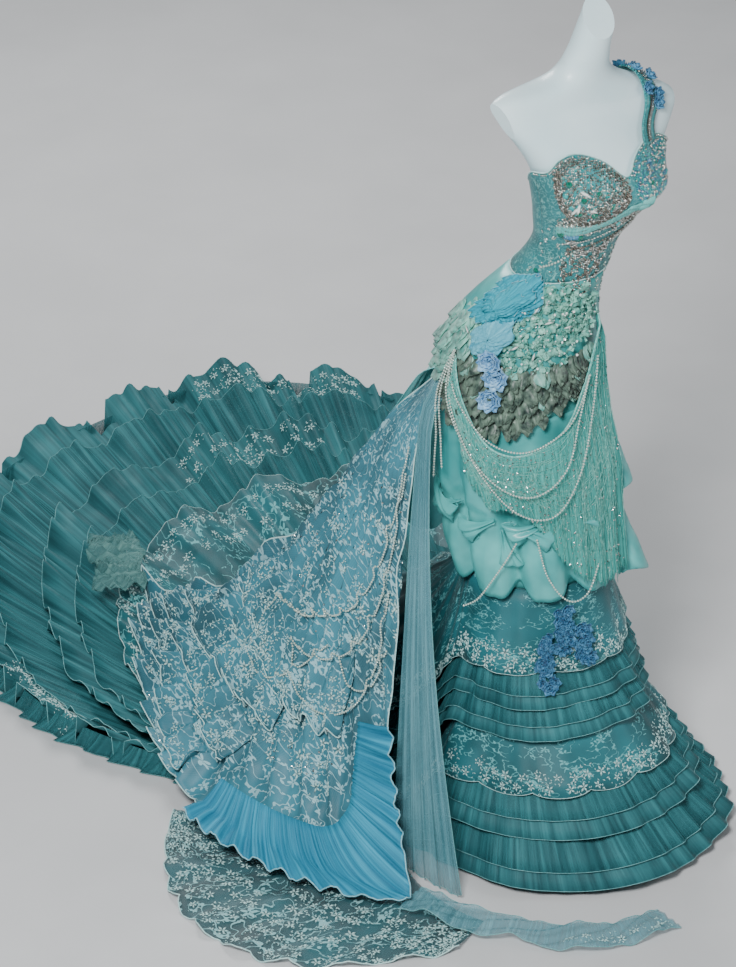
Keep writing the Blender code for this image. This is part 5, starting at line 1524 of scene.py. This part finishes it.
def blue_ruffle():
    t, w = np.meshgrid(1 - np.linspace(0, 1, 330), np.linspace(0, 1, 11))
    u0, v0, u1, v1 = (column(RUFFLE, k, t) for k in range(1, 5))
    u, v = u0 + (u1 - u0) * w, v0 + (v1 - v0) * w
    train = lambda a, b: fall_point(LACE_TRAIN, a, b, LACE_TOP_Z)
    normal = unit(np.cross(train(u, v + 0.08) - train(u, v - 0.08), train(u + 0.04, v) - train(u - 0.04, v)))
    corner = ease((t - 0.24) / 0.08) * ease((0.60 - t) / 0.08)
    wave = RUFFLE_WAVE * cosine(RUFFLE_WAVES * t) * (0.10 + 0.90 * w)
    fine = 0.0022 * ripple(t, 1 / 64, 56) * (1 - 0.6 * w) + 0.0026 * ripple(t, 1 / 44, 57) * w
    off = RUFFLE_OFF + (wave + fine) * (1 - 0.75 * corner) + 0.003
    off = np.maximum(off, 1.1 * train_wave(u, v) + 0.004)
    grid = train(u, v) + normal * off[..., None]
    grid[..., 2] = np.maximum(grid[..., 2], 0.003)
    piece = cloth("blue_ruffle_cloth", grid, F["blue"], "blue_organza", ("blue_ruffle",))
    hem = tube("blue_ruffle_hem", [grid[-1]], 0.0017, F["blue_hem"], "blue_organza")
    lay(piece, "gathered", ["lace_train_cloth"], [hem])


TRAIL = [  # share of the way along, angle, radius, height
    (0.0, 188.0, 0.490, 0.024), (1 / 6, 198.0, 0.475, 0.018), (2 / 6, 212.0, 0.455, 0.004),
    (3 / 6, 224.0, 0.455, 0.0), (4 / 6, 236.0, 0.460, 0.0), (5 / 6, 247.0, 0.445, 0.0),
    (1.0, 257.0, 0.430, 0.0),
]
TRAIN_STRIP = [  # the same columns
    (0.0, 102.08, 1.289, 0.171), (0.5, 105.08, 1.219, 0.161), (1.0, 108.08, 1.159, 0.146),
]


def strip_grid(path, width, waves, wave, columns, seed):
    t, w = lattice(columns, 14)

    def centre(t):
        angle, radius, height = (column(path, k, t) for k in (1, 2, 3))
        return stack(radius * np.cos(np.radians(angle)), radius * np.sin(np.radians(angle)), height)

    step = centre(np.minimum(t + 0.01, 1.0)) - centre(np.maximum(t - 0.01, 0.0))
    side = unit(stack(step[..., 1], -step[..., 0], 0.0))
    rumple = 0.0045 * (1 + ripple(t + 0.35 * w, 0.12, seed))
    lift = wave * (1 - cosine(waves * t)) * (0.25 + 0.75 * w) + rumple + 0.0018
    across = (w - 0.5) * (1 + 0.18 * ripple(t, 0.5, seed + 2)) + 0.07 * ripple(t + 0.2 * w, 0.3, seed + 1)
    return centre(t) + side * (width * across)[..., None] + stack(0.0, 0.0, lift)


def strips():
    grid = strip_grid(TRAIL, 0.085, 4, 0.008, 160, 91)
    piece = cloth("trailing_strip_cloth", grid, F["gauze"], "gauze", ("trailing_strip",))
    hem = tube("trailing_strip_hem", [grid[0], grid[-1]], 0.0010, F["hem"], "gauze", sides=4)
    lay(piece, "laid", ["lower_lace_cloth"], [hem])
    embroider("trailing_strip", grid, "lace", seed=63, rows=(0.35, 0.97), pitch=0.038, size=0.0055,
              keep=lambda u, v: u > 0.55)
    grid = strip_grid(TRAIN_STRIP, 0.110, 2, 0.010, 110, 93)
    t, w = lattice(110, 14)
    swell = 0.014 * np.maximum(ripple(t + 0.5 * w, 0.13, 95), -0.2)
    grid[..., 2] += swell + 0.006 * ripple(w + 0.6 * t, 0.22, 96)
    piece = cloth("train_strip_cloth", grid, F["strip"], "leaf_organza", ("train_strip",))
    lay(piece, "laid", ["lace_train_cloth"])


FLOWER_STRIPS = [  # angle, top share and lower share of the skirt, half width in degrees, distance off it
    (238.0, 0.14, 0.36, 4.6, 0.0356), (249.0, 0.05, 0.22, 3.4, 0.0340), (261.0, 0.12, 0.26, 4.2, 0.0432),
]


def flower_strips():
    for number, (angle, top, low, half, off) in enumerate(FLOWER_STRIPS, 1):
        n = 20
        s = np.linspace(0.04, 0.96, n)
        wobble = half * (0.75 * np.sin(2.6 * np.arange(n) + number) + rng.normal(scale=0.30, size=n))
        s = np.clip(s + rng.normal(scale=0.03, size=n), 0.02, 0.98)
        places = above_skirt(angle + wobble, top + (low - top) * s, off + 0.004)
        normals = unit(above_skirt(angle + wobble, top + (low - top) * s, off + 0.03) - places)
        flower(places, normals, rng.uniform(0.009, 0.019, n), 6, 3, F["corn"],
               f"flower_strip_{number}_flowers", "flower_cloth",
               (f"flower_strip_{number}",))


# Pearls


def pearl_strings():
    """Strings of pearls: rows of angle, height and distance from the figure, then those on the train."""
    on_body = [
        [(180, 1.120, 0.020), (186, 1.02, 0.034), (200, 0.93, 0.050), (220, 0.865, 0.070),
         (238, 0.850, 0.074), (256, 0.895, 0.066), (268, 0.985, 0.048), (279, 1.07, 0.036)],
        [(180, 1.118, 0.020), (190, 1.00, 0.036), (206, 0.905, 0.060), (226, 0.815, 0.074),
         (246, 0.800, 0.076), (262, 0.87, 0.070), (276, 0.985, 0.052), (288, 1.10, 0.034)],
        [(181, 1.118, 0.020), (189, 1.055, 0.030), (200, 1.005, 0.036), (214, 0.955, 0.044),
         (232, 0.935, 0.046), (250, 0.952, 0.044), (266, 0.99, 0.042), (280, 1.07, 0.036)],
        [(224, 0.735, 0.064), (216, 0.69, 0.066), (206, 0.64, 0.066), (196, 0.595, 0.070),
         (186, 0.57, 0.078)],
        [(236, 0.745, 0.066), (240, 0.66, 0.066), (250, 0.605, 0.070), (262, 0.610, 0.070),
         (272, 0.665, 0.068)],
        [(180, 1.12, 0.020), (178, 1.02, 0.040), (176, 0.93, 0.052), (174, 0.84, 0.070)],
        [(181, 1.12, 0.020), (181, 1.03, 0.038), (181, 0.95, 0.050), (182, 0.87, 0.064)],
    ]
    on_train = [  # u, v on the lace train
        [(0.98, 0.10), (0.93, 0.22), (0.86, 0.33), (0.76, 0.42), (0.62, 0.46), (0.48, 0.47), (0.34, 0.49)],
        [(0.99, 0.14), (0.96, 0.26), (0.91, 0.38), (0.82, 0.48), (0.70, 0.53), (0.56, 0.52)],
        [(0.34, 0.49), (0.36, 0.57), (0.45, 0.62), (0.56, 0.62), (0.66, 0.57), (0.74, 0.49)],
        [(0.97, 0.34), (0.95, 0.46), (0.88, 0.57), (0.78, 0.62), (0.68, 0.60), (0.60, 0.53)],
        [(0.99, 0.44), (0.93, 0.52), (0.85, 0.54), (0.79, 0.50)],
    ]
    lines = []
    for rows in on_body:
        rows = np.array(rows, float)
        k = np.linspace(0, 1, len(rows))
        t = np.linspace(0, 1, 110)
        lines.append(on_figure(*(curve(k, rows[:, c], t) for c in range(3))))
    for rows in on_train:
        rows = np.array(rows, float)
        k = np.linspace(0, 1, len(rows))
        t = np.linspace(0, 1, 110)
        u, v = curve(k, rows[:, 0], t), curve(k, rows[:, 1], t)
        lines.append(lifted(fall_point(LACE_TRAIN, u, v, LACE_TOP_Z),
                            np.maximum(train_wave(u, v), 0) + 0.019))
    spots = []
    for line in lines:
        length = np.concatenate([[0.0], np.cumsum(np.linalg.norm(np.diff(line, axis=0), axis=1))])
        steps = np.arange(0, length[-1], 0.0060)
        spots.append(np.stack([np.interp(steps, length, line[:, c]) for c in range(3)], -1))
    tube("pearl_threads", lines, 0.0005, F["floss"], "beaded_tulle", sides=3)
    spots = np.concatenate(spots)
    n = len(spots)
    scatter("pearl_strings", BEAD, spots, spin(n), spin(n), 0.0026, F["pearl"], "beaded_tulle")


# The photograph's camera: its place, degrees to the wearer's right of the front, degrees above level
CAMERA_AT, CAMERA_TURN, CAMERA_RISE = (-5.4209, -6.3686, 5.5921), 38.0, 30.0


def stage():
    size = 14.0
    mesh = bpy.data.meshes.new("floor")
    mesh.from_pydata([(-size, -size, 0), (size, -size, 0), (size, size, 0), (-size, size, 0)], [],
                     [(0, 1, 2, 3)])
    floor = bpy.data.objects.new("floor", mesh)
    bpy.context.scene.collection.objects.link(floor)
    mesh.materials.append(plain_finish("studio_floor", (0.60, 0.61, 0.62), (0.64, 0.65, 0.66), 0.75, 3.0))
    floor.location.z = -0.0005
    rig.stage(floor)
    world = bpy.data.worlds.new("studio")
    bpy.context.scene.world = world
    world.use_nodes = True
    world.node_tree.nodes["Background"].inputs["Color"].default_value = (0.80, 0.86, 0.90, 1.0)
    world.node_tree.nodes["Background"].inputs["Strength"].default_value = 0.20
    for name, place, power, side in (("key", (-3.4, -2.6, 4.4), 380.0, 1.2),
                                     ("fill", (3.4, -3.2, 2.6), 60.0, 2.2),
                                     ("rim", (1.2, 3.9, 3.4), 130.0, 1.6)):
        data = bpy.data.lights.new(name, "AREA")
        data.energy, data.size = power, side
        lamp = bpy.data.objects.new(name, data)
        lamp.location = place
        lamp.rotation_euler = (Vector((0.0, 0.1, 0.8)) - Vector(place)).to_track_quat("-Z", "Y").to_euler()
        bpy.context.scene.collection.objects.link(lamp)
    data = bpy.data.cameras.new("camera")
    data.sensor_width, data.lens = 36.0, 178.88
    camera = bpy.data.objects.new("camera", data)
    bpy.context.scene.collection.objects.link(camera)
    turn, rise = math.radians(CAMERA_TURN), math.radians(CAMERA_RISE)
    right = (math.cos(turn), -math.sin(turn), 0.0)
    up = (math.sin(turn) * math.sin(rise), math.cos(turn) * math.sin(rise), math.cos(rise))
    back = (-math.sin(turn) * math.cos(rise), -math.cos(turn) * math.cos(rise), math.sin(rise))
    axes = Matrix([(right[k], up[k], back[k]) for k in range(3)]).to_4x4()
    camera.matrix_world = Matrix.Translation(CAMERA_AT) @ axes
    bpy.context.scene.camera = camera


def main():
    stage()
    dress_form()
    bodice()
    bodice_beads()
    bust_band()
    shoulder_strap()
    sheath()
    underskirt()
    tiers()
    hem_flounce()
    satin_overskirt()
    satin_loops()
    satin_wings()
    tulle_swag()
    petal_band()
    hip_spray()
    mint_applique()
    rosette()
    organza_puff()
    hip_flowers()
    lace_train()
    hanging_sheets()
    lower_lace()
    blue_ruffle()
    strips()
    flower_strips()
    pearl_strings()
    for node in ("stand_plate", "stand_pole"):
        for held in frame["nodes"][node].material_slots:
            held.material = F["steel"]
    with open("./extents.json", "w") as f:
        json.dump({"cad": CAD_BOX, "scene": [list(corner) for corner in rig.bounds()]}, f)


main()
